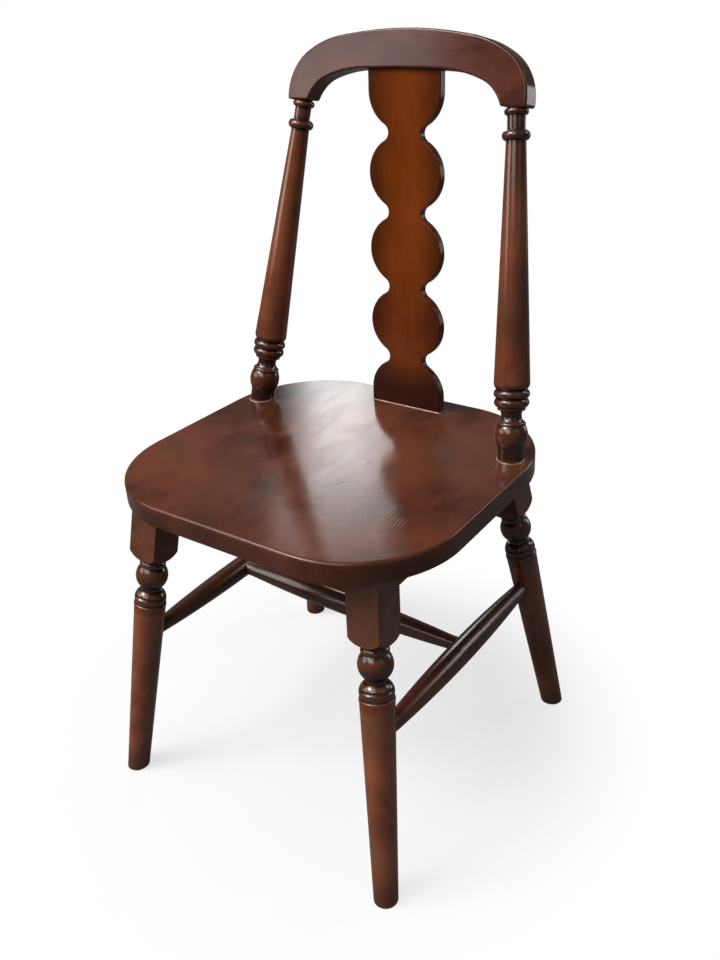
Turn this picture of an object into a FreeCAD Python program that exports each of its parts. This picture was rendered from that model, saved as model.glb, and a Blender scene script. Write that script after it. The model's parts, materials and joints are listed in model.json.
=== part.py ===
import FreeCAD, Part
import os
import re

import Sketcher

# A wooden dining chair with a scalloped back splat: a flat seat on four splayed turned legs,
# aprons and an H of stretchers below it, and two turned posts, a splat and an arched crest above.
# Frame: x to the sitter's left, y to the back, z up, origin on the floor in the middle of the
# chair's footprint. Pieces on the +x side are modelled, and their twins are mirrored in x = 0.

# Driving dimensions in millimetres, degrees where the name ends in lean or angle: alias, value, meaning
SIZES = (
    ("fit_gap", 0.1, "clearance on each side of a tenon, tongue, bore or pilot hole"),
    ("seat_height", 450, "floor to the top of the seat"),
    ("seat_thickness", 26.5, "seat slab"),
    ("seat_front_y", -206, "front edge of the seat"),
    ("seat_back_y", 229, "back edge of the seat"),
    ("seat_front_half_width", 237.4, "side line of the seat carried on to the front edge"),
    ("seat_back_half_width", 229.2, "side line of the seat carried on to the back edge"),
    ("seat_front_corner_radius", 136, "rounded front corners in plan"),
    ("seat_back_corner_radius", 140, "rounded back corners in plan"),
    ("seat_edge_round", 4, "round along the top edge of the seat"),
    ("leg_front_side_inset", 71.2, "side line of the seat to the axis of a front leg"),
    ("leg_front_edge_inset", 64, "front edge of the seat to the axis of a front leg"),
    ("leg_front_side_splay", 50, "how far a front foot stands out sideways"),
    ("leg_front_edge_splay", 77, "how far a front foot stands out to the front"),
    ("leg_back_side_inset", 72.8, "side line of the seat to the axis of a back leg"),
    ("leg_back_edge_inset", 60, "back edge of the seat to the axis of a back leg"),
    ("leg_back_side_splay", 68.5, "how far a back foot stands out sideways"),
    ("leg_back_edge_splay", 48, "how far a back foot stands out to the back"),
    ("leg_block_width", 43.4, "square top block of a leg"),
    ("leg_block_length", 79, "seat to the start of the block's shoulder, along the leg"),
    ("leg_shoulder_height", 15, "turned shoulder from the square block down to the collar"),
    ("leg_shoulder_swell", 3, "how full the curve of the shoulder is"),
    ("leg_collar_radius", 15.4, "plain collar below the shoulder"),
    ("leg_collar_height", 3.5, "collar between the shoulder and the small ring"),
    ("leg_ring_height", 7.5, "small ring above the ball"),
    ("leg_ring_swell", 1.3, "how far the small ring stands out"),
    ("leg_ball_top_radius", 16, "hollow between the small ring and the ball"),
    ("leg_ball_height", 31, "ball turning"),
    ("leg_ball_swell", 6.5, "how far the ball stands out from its ends"),
    ("leg_waist_radius", 13.1, "thin waist below the ball"),
    ("leg_waist_height", 5, "waist"),
    ("leg_bead_top_radius", 14.3, "upper edge of the large bead"),
    ("leg_bead_height", 18, "large bead below the waist"),
    ("leg_bead_swell", 3.4, "how far the large bead stands out"),
    ("leg_bead_foot_radius", 19.8, "groove between the large bead and the shaft"),
    ("leg_shaft_round", 6.5, "rounded start of the shaft"),
    ("leg_shaft_round_swell", 0.6, "how full that round is"),
    ("leg_shaft_radius", 20.8, "shaft below its rounded start"),
    ("leg_scribe_drop", 6.5, "scribed line below the rounded start of the shaft"),
    ("leg_scribe_depth", 0.6, "scribed line, also half its width"),
    ("leg_foot_radius", 14.8, "lower end of the shaft's taper"),
    ("leg_foot_chamfer", 1.5, "small bevel round the foot"),
    ("rail_height", 34, "apron rails"),
    ("rail_thickness", 20, "apron rails"),
    ("rail_setback", 3, "rail face behind the outer face of the leg blocks"),
    ("rail_tenon_thickness", 8, "rail tenon"),
    ("rail_tenon_shoulder", 6, "rail above and below its tenon"),
    ("rail_tenon_depth", 14, "rail tenon inside the leg block"),
    ("stretcher_height", 215, "axis of the stretchers above the floor"),
    ("stretcher_end_radius", 9.7, "stretchers where they enter the legs"),
    ("stretcher_swell", 5.8, "how much thicker the stretchers are in the middle"),
    ("stretcher_end_length", 24, "straight end of a stretcher, from the axis of what holds it"),
    ("stretcher_inset", 5, "end of a stretcher short of the axis of what holds it"),
    ("cross_share", 0.53, "place of the cross stretcher along the side stretchers"),
    ("post_side_inset", 28.9, "side line of the seat to the axis of a post"),
    ("post_edge_inset", 117, "back edge of the seat to the axis of a post"),
    ("post_lean_rise", 400, "rise over which the two leans of a post are given"),
    ("post_lean_inward", 48, "how far a post leans in over that rise"),
    ("post_lean_backward", 92, "how far a post leans back over that rise"),
    ("post_base_radius", 16.5, "post on the seat"),
    ("post_base_height", 9, "straight foot of the post"),
    ("post_flare_height", 8.5, "flare from the foot up to the bulb"),
    ("post_flare_radius", 17.9, "post below the bulb"),
    ("post_flare_hollow", 0.3, "hollow of the flare"),
    ("post_bulb_height", 25, "bulb"),
    ("post_bulb_swell", 3.2, "how far the bulb stands out"),
    ("post_bulb_top_radius", 17.6, "hollow between the bulb and the small ring"),
    ("post_ring_height", 4.3, "small ring on top of the bulb"),
    ("post_ring_swell", 0.8, "how far the small ring stands out"),
    ("post_ring_radius", 16.8, "upper edge of the small ring"),
    ("post_waist_drop", 6.7, "hollow from the ring up to the waist"),
    ("post_waist_hollow", 0.9, "depth of the hollows beside the waist"),
    ("post_waist_radius", 12.8, "thin waist of the post"),
    ("post_waist_height", 4, "waist"),
    ("post_lip_rise", 4.5, "hollow from the waist up to the lip"),
    ("post_lip_radius", 17.4, "thin lip below the two beads"),
    ("post_lip_height", 3, "lip"),
    ("post_groove_radius", 18.7, "grooves above the two beads"),
    ("post_lower_bead_height", 11.3, "lower bead"),
    ("post_upper_bead_height", 11, "upper bead"),
    ("post_bead_swell", 3.6, "how far the two beads stand out"),
    ("post_shaft_round", 7.5, "rounded start of the shaft"),
    ("post_shaft_round_swell", 0.9, "how full that round is"),
    ("post_shaft_radius", 22.3, "shaft at its thick lower end"),
    ("post_shaft_length", 280.7, "tapered shaft"),
    ("post_shaft_top_radius", 11.8, "shaft at its thin upper end"),
    ("post_collar_height", 12, "bead on top of the shaft"),
    ("post_collar_swell", 5.4, "how far that bead stands out"),
    ("post_neck_radius", 10.6, "neck between the collar and the top bead"),
    ("post_neck_height", 15.7, "neck"),
    ("post_top_bead_height", 8.6, "bead under the crest rail"),
    ("post_top_bead_swell", 3.7, "how far the top bead stands out"),
    ("post_foot_tenon_radius", 11, "tenon in the seat"),
    ("post_foot_tenon_web", 6.5, "seat left below the tenon"),
    ("post_head_tenon_radius", 8, "tenon in the crest rail"),
    ("post_head_tenon_length", 24, "tenon in the crest rail"),
    ("crest_lean", 12.7, "crest rail leaning back, degrees"),
    ("crest_thickness", 27, "crest rail"),
    ("crest_outer_ear_reach", 17.5, "post axis to the outside of an ear's bottom"),
    ("crest_outer_rise", 6, "straight outer side of an ear"),
    ("crest_outer_ear_radius", 62, "outer curve from the ear into the shoulder"),
    ("crest_outer_ear_angle", 57, "turn of that curve, degrees"),
    ("crest_outer_shoulder_radius", 125, "outer curve of the shoulder"),
    ("crest_outer_shoulder_angle", 23.5, "turn of that curve, degrees"),
    ("crest_inner_ear_reach", 15.5, "post axis to the inside of an ear's bottom"),
    ("crest_inner_lean", 20.5, "inner side of an ear at its bottom, degrees off square"),
    ("crest_inner_ear_radius", 48, "inner curve from the ear into the arch"),
    ("crest_inner_ear_angle", 49, "turn of that curve, degrees"),
    ("crest_inner_shoulder_radius", 170, "inner curve of the shoulder"),
    ("crest_inner_shoulder_angle", 19, "turn of that curve, degrees"),
    ("crest_ear_round", 3.4, "rounded corners of the ear bottoms"),
    ("crest_edge_round", 2.6, "round along all edges of the crest rail"),
    ("splat_edge_inset", 43.5, "back edge of the seat to the front face of the splat"),
    ("splat_lean", 2.64, "splat leaning back, degrees"),
    ("splat_thickness", 12, "back splat"),
    ("splat_lobe_radius", 45.2, "round lobes of the splat"),
    ("splat_lobe_pitch", 98.2, "lobe to lobe"),
    ("splat_first_lobe", 20.3, "centre of the lowest lobe above the seat"),
    ("splat_top_half_width", 52.6, "half width at the topmost lobe"),
    ("splat_lobe_growth", 0.7, "how much wider each lobe is than the one above it"),
    ("splat_hollow_radius", 10.9, "hollows between the lobes"),
    ("splat_edge_round", 1.2, "round along the front edges of the splat"),
    ("splat_foot_web", 11.5, "seat left below the splat"),
    ("splat_head_tongue", 12, "splat inside the crest rail, measured in the middle of its arch"),
    ("corner_block_reach", 45, "leg axis to the near face of a corner block, along x plus y"),
    ("corner_block_thickness", 18, "corner block, square to its long faces"),
    ("corner_block_height", 28, "corner block"),
    ("corner_block_spare", 8, "stock at each end of a corner block, cut away at the rails"),
    ("screw_radius", 2, "shank of a wood screw"),
    ("screw_head_radius", 4, "countersunk head"),
    ("screw_head_height", 2.6, "countersunk head"),
    ("seat_screw_web", 12.5, "seat left above the point of a seat screw"),
    ("block_screw_length", 38, "screw from a corner block into a rail"),
    ("block_screw_spread", 26, "block screw off the middle of the corner block"),
)
NAMES = re.compile(r"\b(" + "|".join(name for name, value, meaning in SIZES) + r")\b")
EXTRA = "10"
TOUCH = 0.01

doc = FreeCAD.newDocument("scalloped_back_chair")
sheet = doc.addObject("Spreadsheet::Sheet", "Sizes")
for row, (name, value, meaning) in enumerate(SIZES, start=1):
    sheet.set(f"A{row}", meaning)
    sheet.set(f"B{row}", str(value))
    sheet.setAlias(f"B{row}", name)
doc.recompute()


def rule(text):
    """A rule such as "seat_height - seat_thickness" as an expression on the sheet."""
    return NAMES.sub(r"Sizes.\1", str(text))


def minus(text):
    return "0" if text == "0" else f"(-({text}))"


def size(text):
    """The present value of a rule."""
    value = sheet.evalExpression(rule(text).replace("Sizes.", ""))
    return float(getattr(value, "Value", value))


def bind(piece, path, text):
    piece.setExpression(path, rule(text))


def place(piece, x, y, z, turn):
    """Put a piece at x, y, z with a turn, all given as rules."""
    bind(piece, "Placement", f"placement(vector({x}; {y}; {z}); {turn})")


# Rules that several pieces share
UNDERSIDE = "(seat_height - seat_thickness)"
NO_TURN = "rotation(vector(0; 0; 1); 0)"
HALF_BLOCK = "(leg_block_width / 2)"
DROP = f"(({UNDERSIDE} - stretcher_height) / {UNDERSIDE})"
SEAT_DEPTH = "(seat_back_y - seat_front_y)"
SEAT_TAPER = f"((seat_back_half_width - seat_front_half_width) / {SEAT_DEPTH})"
RAIL_SHIFT = f"({HALF_BLOCK} - rail_setback - rail_thickness / 2)"
SPLAT_FRONT_Y = "(seat_back_y - splat_edge_inset)"
SPLAT_FOOT = "(splat_foot_web - seat_thickness)"


def seat_side(y):
    """Half the seat's width, along its straight side lines, at a rule for y."""
    return f"(seat_front_half_width + {SEAT_TAPER} * ({y} - seat_front_y))"


def leg_top(side, axis):
    """A leg's axis at the underside of the seat, along x or y."""
    y = f"(seat_{side}_y {'+' if side == 'front' else '-'} leg_{side}_edge_inset)"
    return y if axis == "y" else f"({seat_side(y)} - leg_{side}_side_inset)"


def leg_shift(side, axis):
    """How far a leg's foot stands out from its top along x or y."""
    if axis == "x":
        return f"leg_{side}_side_splay"
    return "(-leg_front_edge_splay)" if side == "front" else "leg_back_edge_splay"


def leg_point(side, axis):
    """Where the leg's axis crosses the height of the stretchers."""
    return f"({leg_top(side, axis)} + {leg_shift(side, axis)} * {DROP})"


def origin_plane(body, role):
    return next(item for item in body.Origin.OriginFeatures if item.Role == role)


def new_body(name):
    body = doc.addObject("PartDesign::Body", name)
    body.Label = name
    return body


def new_sketch(body, name, role):
    sketch = body.newObject("Sketcher::SketchObject", name)
    sketch.AttachmentSupport = [(origin_plane(body, role), "")]
    sketch.MapMode = "FlatFace"
    return sketch


def end_at(sketch, edge, spot):
    """Which end of an edge, 1 or 2, lies at a spot."""
    first = sketch.getPoint(edge, 1)
    return 1 if first.distanceToPoint(spot) < sketch.getPoint(edge, 2).distanceToPoint(spot) else 2


def pin(sketch, edge, end, x, y):
    """Fix one end of an edge at the rules x and y, measured from the sketch's origin."""
    for kind, axis, text in (("DistanceX", -2, x), ("DistanceY", -1, y)):
        if text == "0":
            sketch.addConstraint(Sketcher.Constraint("PointOnObject", edge, end, axis))
            continue
        number = sketch.addConstraint(Sketcher.Constraint(kind, -1, 1, edge, end, size(text)))
        sketch.setExpression(f"Constraints[{number}]", rule(text))


def outline(sketch, corners):
    """Closed outline through corners (x rule, y rule, swell rule of the edge that leads there).

    A swell of "0" is a straight edge. Any other swell is an arc that stands out to the right
    of the way from the corner before, by that much, or to the left where it is negative.
    """
    spots = [FreeCAD.Vector(size(x), size(y), 0) for x, y, swell in corners]
    edges = []
    for index, (x, y, swell) in enumerate(corners):
        start = spots[index - 1]
        end = spots[index]
        if swell == "0":
            edges.append(sketch.addGeometry(Part.LineSegment(start, end), False))
            continue
        along = end - start
        out = FreeCAD.Vector(along.y, -along.x, 0).normalize()
        middle = (start + end) * 0.5 + out * size(swell)
        edges.append(sketch.addGeometry(Part.Arc(start, middle, end), False))
        before = corners[index - 1]
        chord = f"(({x}) - ({before[0]}))^2 + (({y}) - ({before[1]}))^2"
        radius = f"(({chord}) / 4 + ({swell})^2) / (2 * abs({swell}))"
        number = sketch.addConstraint(Sketcher.Constraint("Radius", edges[-1], size(radius)))
        sketch.setExpression(f"Constraints[{number}]", rule(radius))
    for index, (x, y, swell) in enumerate(corners):
        edge = edges[index]
        follower = edges[(index + 1) % len(edges)]
        end = end_at(sketch, edge, spots[index])
        begin = end_at(sketch, follower, spots[index])
        sketch.addConstraint(Sketcher.Constraint("Coincident", edge, end, follower, begin))
        pin(sketch, edge, end, x, y)


def turned(name, stations, axis):
    """A turned body from stations (place along the axis, radius, swell of the edge before).

    The axis is "Z" or "X" of the body. Stations are rules, in rising order along the axis.
    """
    body = new_body(name)
    sketch = new_sketch(body, f"{name}_profile", "XZ_Plane")
    first = stations[0][0]
    last = stations[-1][0]
    if axis == "Z":
        corners = [("0", last, "0"), ("0", first, "0")]
        corners += [(radius, along, swell) for along, radius, swell in stations]
    else:
        corners = [(last, "0", "0"), (first, "0", "0")]
        corners += [(along, radius, f"-({swell})" if swell != "0" else "0")
                    for along, radius, swell in stations]
    outline(sketch, corners)
    doc.recompute()
    solid = body.newObject("PartDesign::Revolution", f"{name}_turning")
    solid.Profile = sketch
    solid.ReferenceAxis = (sketch, ["V_Axis" if axis == "Z" else "H_Axis"])
    solid.Angle = 360
    doc.recompute()
    return body


def padded(name, role, corners, length, reverse=False, middle=False):
    """A body that pads a closed outline on one of its origin planes by a length rule."""
    body = new_body(name)
    sketch = new_sketch(body, f"{name}_outline", role)
    outline(sketch, corners)
    doc.recompute()
    pad = body.newObject("PartDesign::Pad", f"{name}_pad")
    pad.Profile = sketch
    pad.Reversed = reverse
    pad.Midplane = middle
    bind(pad, "Length", length)
    doc.recompute()
    return body


def rounded(body, name, radius, wanted):
    """Round the edges of a body's last feature that the test wanted(edge) picks."""
    base = body.Tip
    names = [f"Edge{number}" for number, edge in enumerate(base.Shape.Edges, start=1) if wanted(edge)]
    fillet = body.newObject("PartDesign::Fillet", name)
    fillet.Base = (base, names)
    bind(fillet, "Radius", radius)
    doc.recompute()
    return body


def joined(name, pieces):
    fuse = doc.addObject("Part::MultiFuse", name)
    fuse.Shapes = pieces
    fuse.Label = name
    return fuse


def cut(name, base, tools):
    """A piece with every tool taken out of it."""
    result = doc.addObject("Part::Cut", name)
    result.Base = base
    result.Tool = tools[0] if len(tools) == 1 else joined(f"{name}_tools", tools)
    result.Label = name
    return result


def twin(name, source):
    """The mirrored twin on the -x side."""
    mirror = doc.addObject("Part::Mirroring", name)
    mirror.Source = source
    mirror.Normal = (1, 0, 0)
    mirror.Label = name
    return mirror


def cylinder(name, radius, length):
    rod = doc.addObject("Part::Cylinder", name)
    bind(rod, "Radius", radius)
    bind(rod, "Height", length)
    return rod


def box(name, half_x, low_y, high_y, low_z, high_z):
    """A box centred on x = 0 between rules for y and z, as a padded body."""
    corners = [(low_y, low_z, "0"), (high_y, low_z, "0"), (high_y, high_z, "0"), (low_y, high_z, "0")]
    return padded(name, "YZ_Plane", corners, f"2 * ({half_x})", middle=True)


# Seat slab: a tapering plan with large corner radii and a rounded top edge
def seat_blank():
    corners = [("-seat_front_half_width", "seat_front_y", "0"),
               ("seat_front_half_width", "seat_front_y", "0"),
               ("seat_back_half_width", "seat_back_y", "0"),
               ("-seat_back_half_width", "seat_back_y", "0")]
    body = padded("seat_blank", "XY_Plane", corners, "seat_thickness", reverse=True)
    front = size("seat_front_y")
    back = size("seat_back_y")

    def upright_at(edge, y):
        ends = [vertex.Point for vertex in edge.Vertexes]
        return abs(ends[0].z - ends[1].z) > 1 and abs(ends[0].y - y) < TOUCH

    rounded(body, "seat_front_corners", "seat_front_corner_radius", lambda edge: upright_at(edge, front))
    rounded(body, "seat_back_corners", "seat_back_corner_radius", lambda edge: upright_at(edge, back))
    rounded(body, "seat_top_edge", "seat_edge_round",
            lambda edge: all(abs(vertex.Z) < TOUCH for vertex in edge.Vertexes))
    place(body, "0", "0", "seat_height", NO_TURN)
    return body


# Legs: a square block with a quarter-round shoulder on all four sides, then the turning
def leg_turn(side):
    across = leg_shift(side, "x")
    back = leg_shift(side, "y")
    lean = f"atan(sqrt({across}^2 + {back}^2) / {UNDERSIDE})"
    return f"rotation(vector({back}; -{across}; 0); {lean})"


def leg_stations():
    """The turning from below the floor up into the block, at heights below the seat."""
    collar_top = "(leg_block_length + leg_shoulder_height)"
    ring_top = f"({collar_top} + leg_collar_height)"
    ball_top = f"({ring_top} + leg_ring_height)"
    ball_foot = f"({ball_top} + leg_ball_height)"
    waist_foot = f"({ball_foot} + leg_waist_height)"
    bead_foot = f"({waist_foot} + leg_bead_height)"
    shaft_top = f"({bead_foot} + leg_shaft_round)"
    scribe = f"({shaft_top} + leg_scribe_drop)"
    return [(f"-({UNDERSIDE} + 3 * {EXTRA})", "leg_foot_radius", "0"),
            (f"-({scribe} + leg_scribe_depth)", "leg_shaft_radius", "0"),
            (f"-{scribe}", "leg_shaft_radius - leg_scribe_depth", "0"),
            (f"-({scribe} - leg_scribe_depth)", "leg_shaft_radius", "0"),
            (f"-{shaft_top}", "leg_shaft_radius", "0"),
            (f"-{bead_foot}", "leg_bead_foot_radius", "leg_shaft_round_swell"),
            (f"-{waist_foot}", "leg_bead_top_radius", "leg_bead_swell"),
            (f"-{waist_foot}", "leg_waist_radius", "0"),
            (f"-{ball_foot}", "leg_waist_radius", "0"),
            (f"-{ball_top}", "leg_ball_top_radius", "leg_ball_swell"),
            (f"-{ring_top}", "leg_collar_radius", "leg_ring_swell"),
            ("-leg_block_length", "leg_collar_radius", "0")]


def leg_blank(side):
    """Leg with stock to spare at the seat and below the floor, in its splayed place."""
    half = HALF_BLOCK
    foot = "(leg_block_length + leg_shoulder_height)"
    corners = [(f"-{half}", f"-{half}", "0"), (half, f"-{half}", "0"),
               (half, half, "0"), (f"-{half}", half, "0")]
    bar = padded(f"leg_{side}_bar", "XY_Plane", corners, f"{foot} + {EXTRA}", reverse=True)
    bind(bar.Group[0], "AttachmentOffset.Base.z", EXTRA)
    lathe = turned(f"leg_{side}_shoulder", [
        (f"-{foot}", "leg_collar_radius", "0"),
        ("-leg_block_length", f"{half} * 1.5", "leg_shoulder_swell"),
        (f"2 * {EXTRA}", f"{half} * 1.5", "0")], "Z")
    block = doc.addObject("Part::MultiCommon", f"leg_{side}_block")
    block.Shapes = [bar, lathe]
    turning = turned(f"leg_{side}_turning", leg_stations(), "Z")
    blank = joined(f"leg_{side}_blank", [block, turning])
    place(blank, leg_top(side, "x"), leg_top(side, "y"), UNDERSIDE, leg_turn(side))
    return blank


def bevelled_foot(name, leg):
    """The finished leg with a small bevel round the foot."""
    doc.recompute()
    numbers = [number for number, edge in enumerate(leg.Shape.Edges, start=1)
               if edge.BoundBox.ZMax < TOUCH]
    bevel = doc.addObject("Part::Chamfer", name)
    bevel.Base = leg
    amount = size("leg_foot_chamfer")
    bevel.Edges = [(number, amount, amount) for number in numbers]
    bevel.Label = name
    return bevel


# Apron rails: boards between the leg blocks, leaning with the legs, tenoned into them
def rail_frame(side):
    """Start x, start y, yaw, lean and length of a rail, as rules, from leg axis to leg axis."""
    if side == "side":
        run_x = f"({leg_top('back', 'x')} - {leg_top('front', 'x')})"
        run_y = f"({leg_top('back', 'y')} - {leg_top('front', 'y')})"
        lean = f"atan(({leg_shift('front', 'x')} + {leg_shift('back', 'x')}) / 2 / {UNDERSIDE})"
        return (leg_top("front", "x"), leg_top("front", "y"), f"atan2({run_y}; {run_x})", lean,
                f"sqrt({run_x}^2 + {run_y}^2)")
    lean = f"atan(leg_{side}_edge_splay / {UNDERSIDE})"
    x = leg_top(side, "x")
    return minus(x) if side == "front" else x, leg_top(side, "y"), "0" if side == "front" else "180", \
        lean, f"(2 * {x})"


def rail_board(name, side, half_thickness, low, high, start):
    """A board in the rail's place: outwards is -y in its own frame."""
    x, y, yaw, lean, length = rail_frame(side)
    corners = [(f"-{RAIL_SHIFT} - ({half_thickness})", low, "0"),
               (f"-{RAIL_SHIFT} + ({half_thickness})", low, "0"),
               (f"-{RAIL_SHIFT} + ({half_thickness})", high, "0"),
               (f"-{RAIL_SHIFT} - ({half_thickness})", high, "0")]
    body = new_body(name)
    sketch = new_sketch(body, f"{name}_section", "YZ_Plane")
    outline(sketch, corners)
    bind(sketch, "AttachmentOffset.Base.z", start)
    doc.recompute()
    pad = body.newObject("PartDesign::Pad", f"{name}_pad")
    pad.Profile = sketch
    bind(pad, "Length", f"{length} - 2 * ({start})")
    place(body, x, y, UNDERSIDE, f"rotation({yaw}; 0; -{lean})")
    doc.recompute()
    return body


def rail_tenon(name, side, gap):
    """The rail's tenon, straight through the board, with a gap on every side."""
    middle = "(-rail_height / 2)"
    half = f"(rail_height / 2 - rail_tenon_shoulder + {gap})"
    start = f"({HALF_BLOCK} - rail_tenon_depth - {gap})"
    return rail_board(name, side, f"rail_tenon_thickness / 2 + {gap}",
                      f"{middle} - {half}", f"{middle} + {half}", start)


# Stretchers: round bars, thickest in the middle, whose ends go into the legs
def stretcher(name, length, gap):
    radius = f"(stretcher_end_radius + {gap})"
    inset = f"(stretcher_inset - {gap})"
    stations = [(inset, radius, "0"),
                ("stretcher_end_length", radius, "0"),
                (f"{length} - stretcher_end_length", radius, "stretcher_swell"),
                (f"{length} - {inset}", radius, "0")]
    return turned(name, stations, "X")


def side_stretcher(name, gap):
    run_x = f"({leg_point('back', 'x')} - {leg_point('front', 'x')})"
    run_y = f"({leg_point('back', 'y')} - {leg_point('front', 'y')})"
    body = stretcher(name, f"sqrt({run_x}^2 + {run_y}^2)", gap)
    place(body, leg_point("front", "x"), leg_point("front", "y"), "stretcher_height",
          f"rotation(vector(0; 0; 1); atan2({run_y}; {run_x}))")
    return body


def cross_stretcher(name, gap):
    front_x = leg_point("front", "x")
    front_y = leg_point("front", "y")
    x = f"({front_x} + ({leg_point('back', 'x')} - {front_x}) * cross_share)"
    y = f"({front_y} + ({leg_point('back', 'y')} - {front_y}) * cross_share)"
    body = stretcher(name, f"(2 * {x})", gap)
    place(body, f"-{x}", y, "stretcher_height", NO_TURN)
    return body


# Back posts: one long turning from the seat to the crest rail
POST_STEPS = (
    # height, radius at its upper end, swell
    ("post_base_height", "post_base_radius", "0"),
    ("post_flare_height", "post_flare_radius", "-post_flare_hollow"),
    ("post_bulb_height", "post_bulb_top_radius", "post_bulb_swell"),
    ("post_ring_height", "post_ring_radius", "post_ring_swell"),
    ("post_waist_drop", "post_waist_radius", "-post_waist_hollow"),
    ("post_waist_height", "post_waist_radius", "0"),
    ("post_lip_rise", "post_lip_radius", "-post_waist_hollow"),
    ("post_lip_height", "post_lip_radius", "0"),
    ("post_lower_bead_height", "post_groove_radius", "post_bead_swell"),
    ("post_upper_bead_height", "post_groove_radius", "post_bead_swell"),
    ("post_shaft_round", "post_shaft_radius", "post_shaft_round_swell"),
    ("post_shaft_length", "post_shaft_top_radius", "0"),
    ("post_collar_height", "post_neck_radius", "post_collar_swell"),
    ("post_neck_height", "post_neck_radius", "0"),
    ("post_top_bead_height", "post_neck_radius", "post_top_bead_swell"),
)


POST_BASE_Y = "(seat_back_y - post_edge_inset)"
POST_BASE_X = f"({seat_side(POST_BASE_Y)} - post_side_inset)"
POST_SLOPE = "sqrt(post_lean_rise^2 + post_lean_inward^2 + post_lean_backward^2)"
POST_LENGTH = "(" + " + ".join(height for height, radius, swell in POST_STEPS) + ")"
POST_END_X = f"({POST_BASE_X} - post_lean_inward * {POST_LENGTH} / {POST_SLOPE})"
POST_END_Y = f"({POST_BASE_Y} + post_lean_backward * {POST_LENGTH} / {POST_SLOPE})"
POST_END_Z = f"(seat_height + post_lean_rise * {POST_LENGTH} / {POST_SLOPE})"


def set_post(piece):
    lean = "atan(sqrt(post_lean_inward^2 + post_lean_backward^2) / post_lean_rise)"
    place(piece, POST_BASE_X, POST_BASE_Y, "seat_height",
          f"rotation(vector(-post_lean_backward; -post_lean_inward; 0); {lean})")
    return piece


def post_blank():
    """Post with stock to spare inside the seat and inside the crest rail."""
    stations = [(f"-{EXTRA}", "post_base_radius", "0"), ("0", "post_base_radius", "0")]
    along = "0"
    for height, radius, swell in POST_STEPS:
        along = f"{along} + {height}"
        stations.append((along, radius, swell))
    stations.append((f"{along} + {EXTRA}", "post_neck_radius", "0"))
    return set_post(turned("post_blank", stations, "Z"))


def post_foot_tenon(name, gap):
    length = f"(seat_thickness - post_foot_tenon_web + {gap})"
    body = turned(name, [(f"-{length}", f"post_foot_tenon_radius + {gap}", "0"),
                         (f"{EXTRA}", f"post_foot_tenon_radius + {gap}", "0")], "Z")
    return set_post(body)


def post_head_tenon(name, gap):
    start = f"({POST_LENGTH} - {EXTRA})"
    end = f"({POST_LENGTH} + post_head_tenon_length + {gap})"
    body = turned(name, [(start, f"post_head_tenon_radius + {gap}", "0"),
                         (end, f"post_head_tenon_radius + {gap}", "0")], "Z")
    return set_post(body)


# Crest rail: an arched board with two ears, its outlines are chains of tangent curves. It sits
# on the ends of the posts, which meet the middle of its thickness.
CREST_FRONT_Y = f"({POST_END_Y} - crest_thickness / 2 * cos(crest_lean))"
CREST_BOTTOM_Z = f"({POST_END_Z} + crest_thickness / 2 * sin(crest_lean))"


def half_arch(part):
    """Corners of half an outline from the ear's bottom up, and its swell at the crown."""
    x = f"({POST_END_X} {'+' if part == 'outer' else '-'} crest_{part}_ear_reach)"
    y = "0"
    lean = "0"
    corners = [(x, y, "0")]
    if part == "outer":
        y = "crest_outer_rise"
        corners.append((x, y, "0"))
    else:
        lean = "crest_inner_lean"
    for curve in ("ear", "shoulder"):
        radius = f"crest_{part}_{curve}_radius"
        turn = f"crest_{part}_{curve}_angle"
        x = f"({x} - {radius} * (cos({lean}) - cos({lean} + {turn})))"
        y = f"({y} + {radius} * (sin({lean} + {turn}) - sin({lean})))"
        lean = f"({lean} + {turn})"
        corners.append((x, y, f"{radius} * (1 - cos({turn} / 2))"))
    return corners, f"({x} / cos({lean}) * (1 - sin({lean})))"


def arch_rise(part):
    """Height of an outline above the ear bottoms on the middle line."""
    corners, crown = half_arch(part)
    return f"({corners[-1][1]} + {crown})"


def whole_arch(part):
    """Corners of an outline from the +x ear's bottom over the crown to the other ear's."""
    corners, crown = half_arch(part)
    swells = [crown] + [swell for x, y, swell in corners[:0:-1]]
    return corners + [(minus(x), y, swell) for (x, y, own), swell in zip(corners[::-1], swells)]


def crest_blank():
    inner = [(minus(x), y, minus(swell)) for x, y, swell in whole_arch("inner")]
    body = padded("crest_blank", "XZ_Plane", whole_arch("outer") + inner, "crest_thickness", reverse=True)
    thickness = size("crest_thickness")

    def across(edge):
        return edge.BoundBox.YMax - edge.BoundBox.YMin > 0.9 * thickness

    def on_face(edge):
        return edge.BoundBox.YMax - edge.BoundBox.YMin < TOUCH

    rounded(body, "crest_ear_corners", "crest_ear_round",
            lambda edge: across(edge) and edge.BoundBox.ZMax < TOUCH)
    rounded(body, "crest_edges", "crest_edge_round", on_face)
    place(body, "0", CREST_FRONT_Y, CREST_BOTTOM_Z, "rotation(vector(1; 0; 0); -crest_lean)")
    return body


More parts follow.
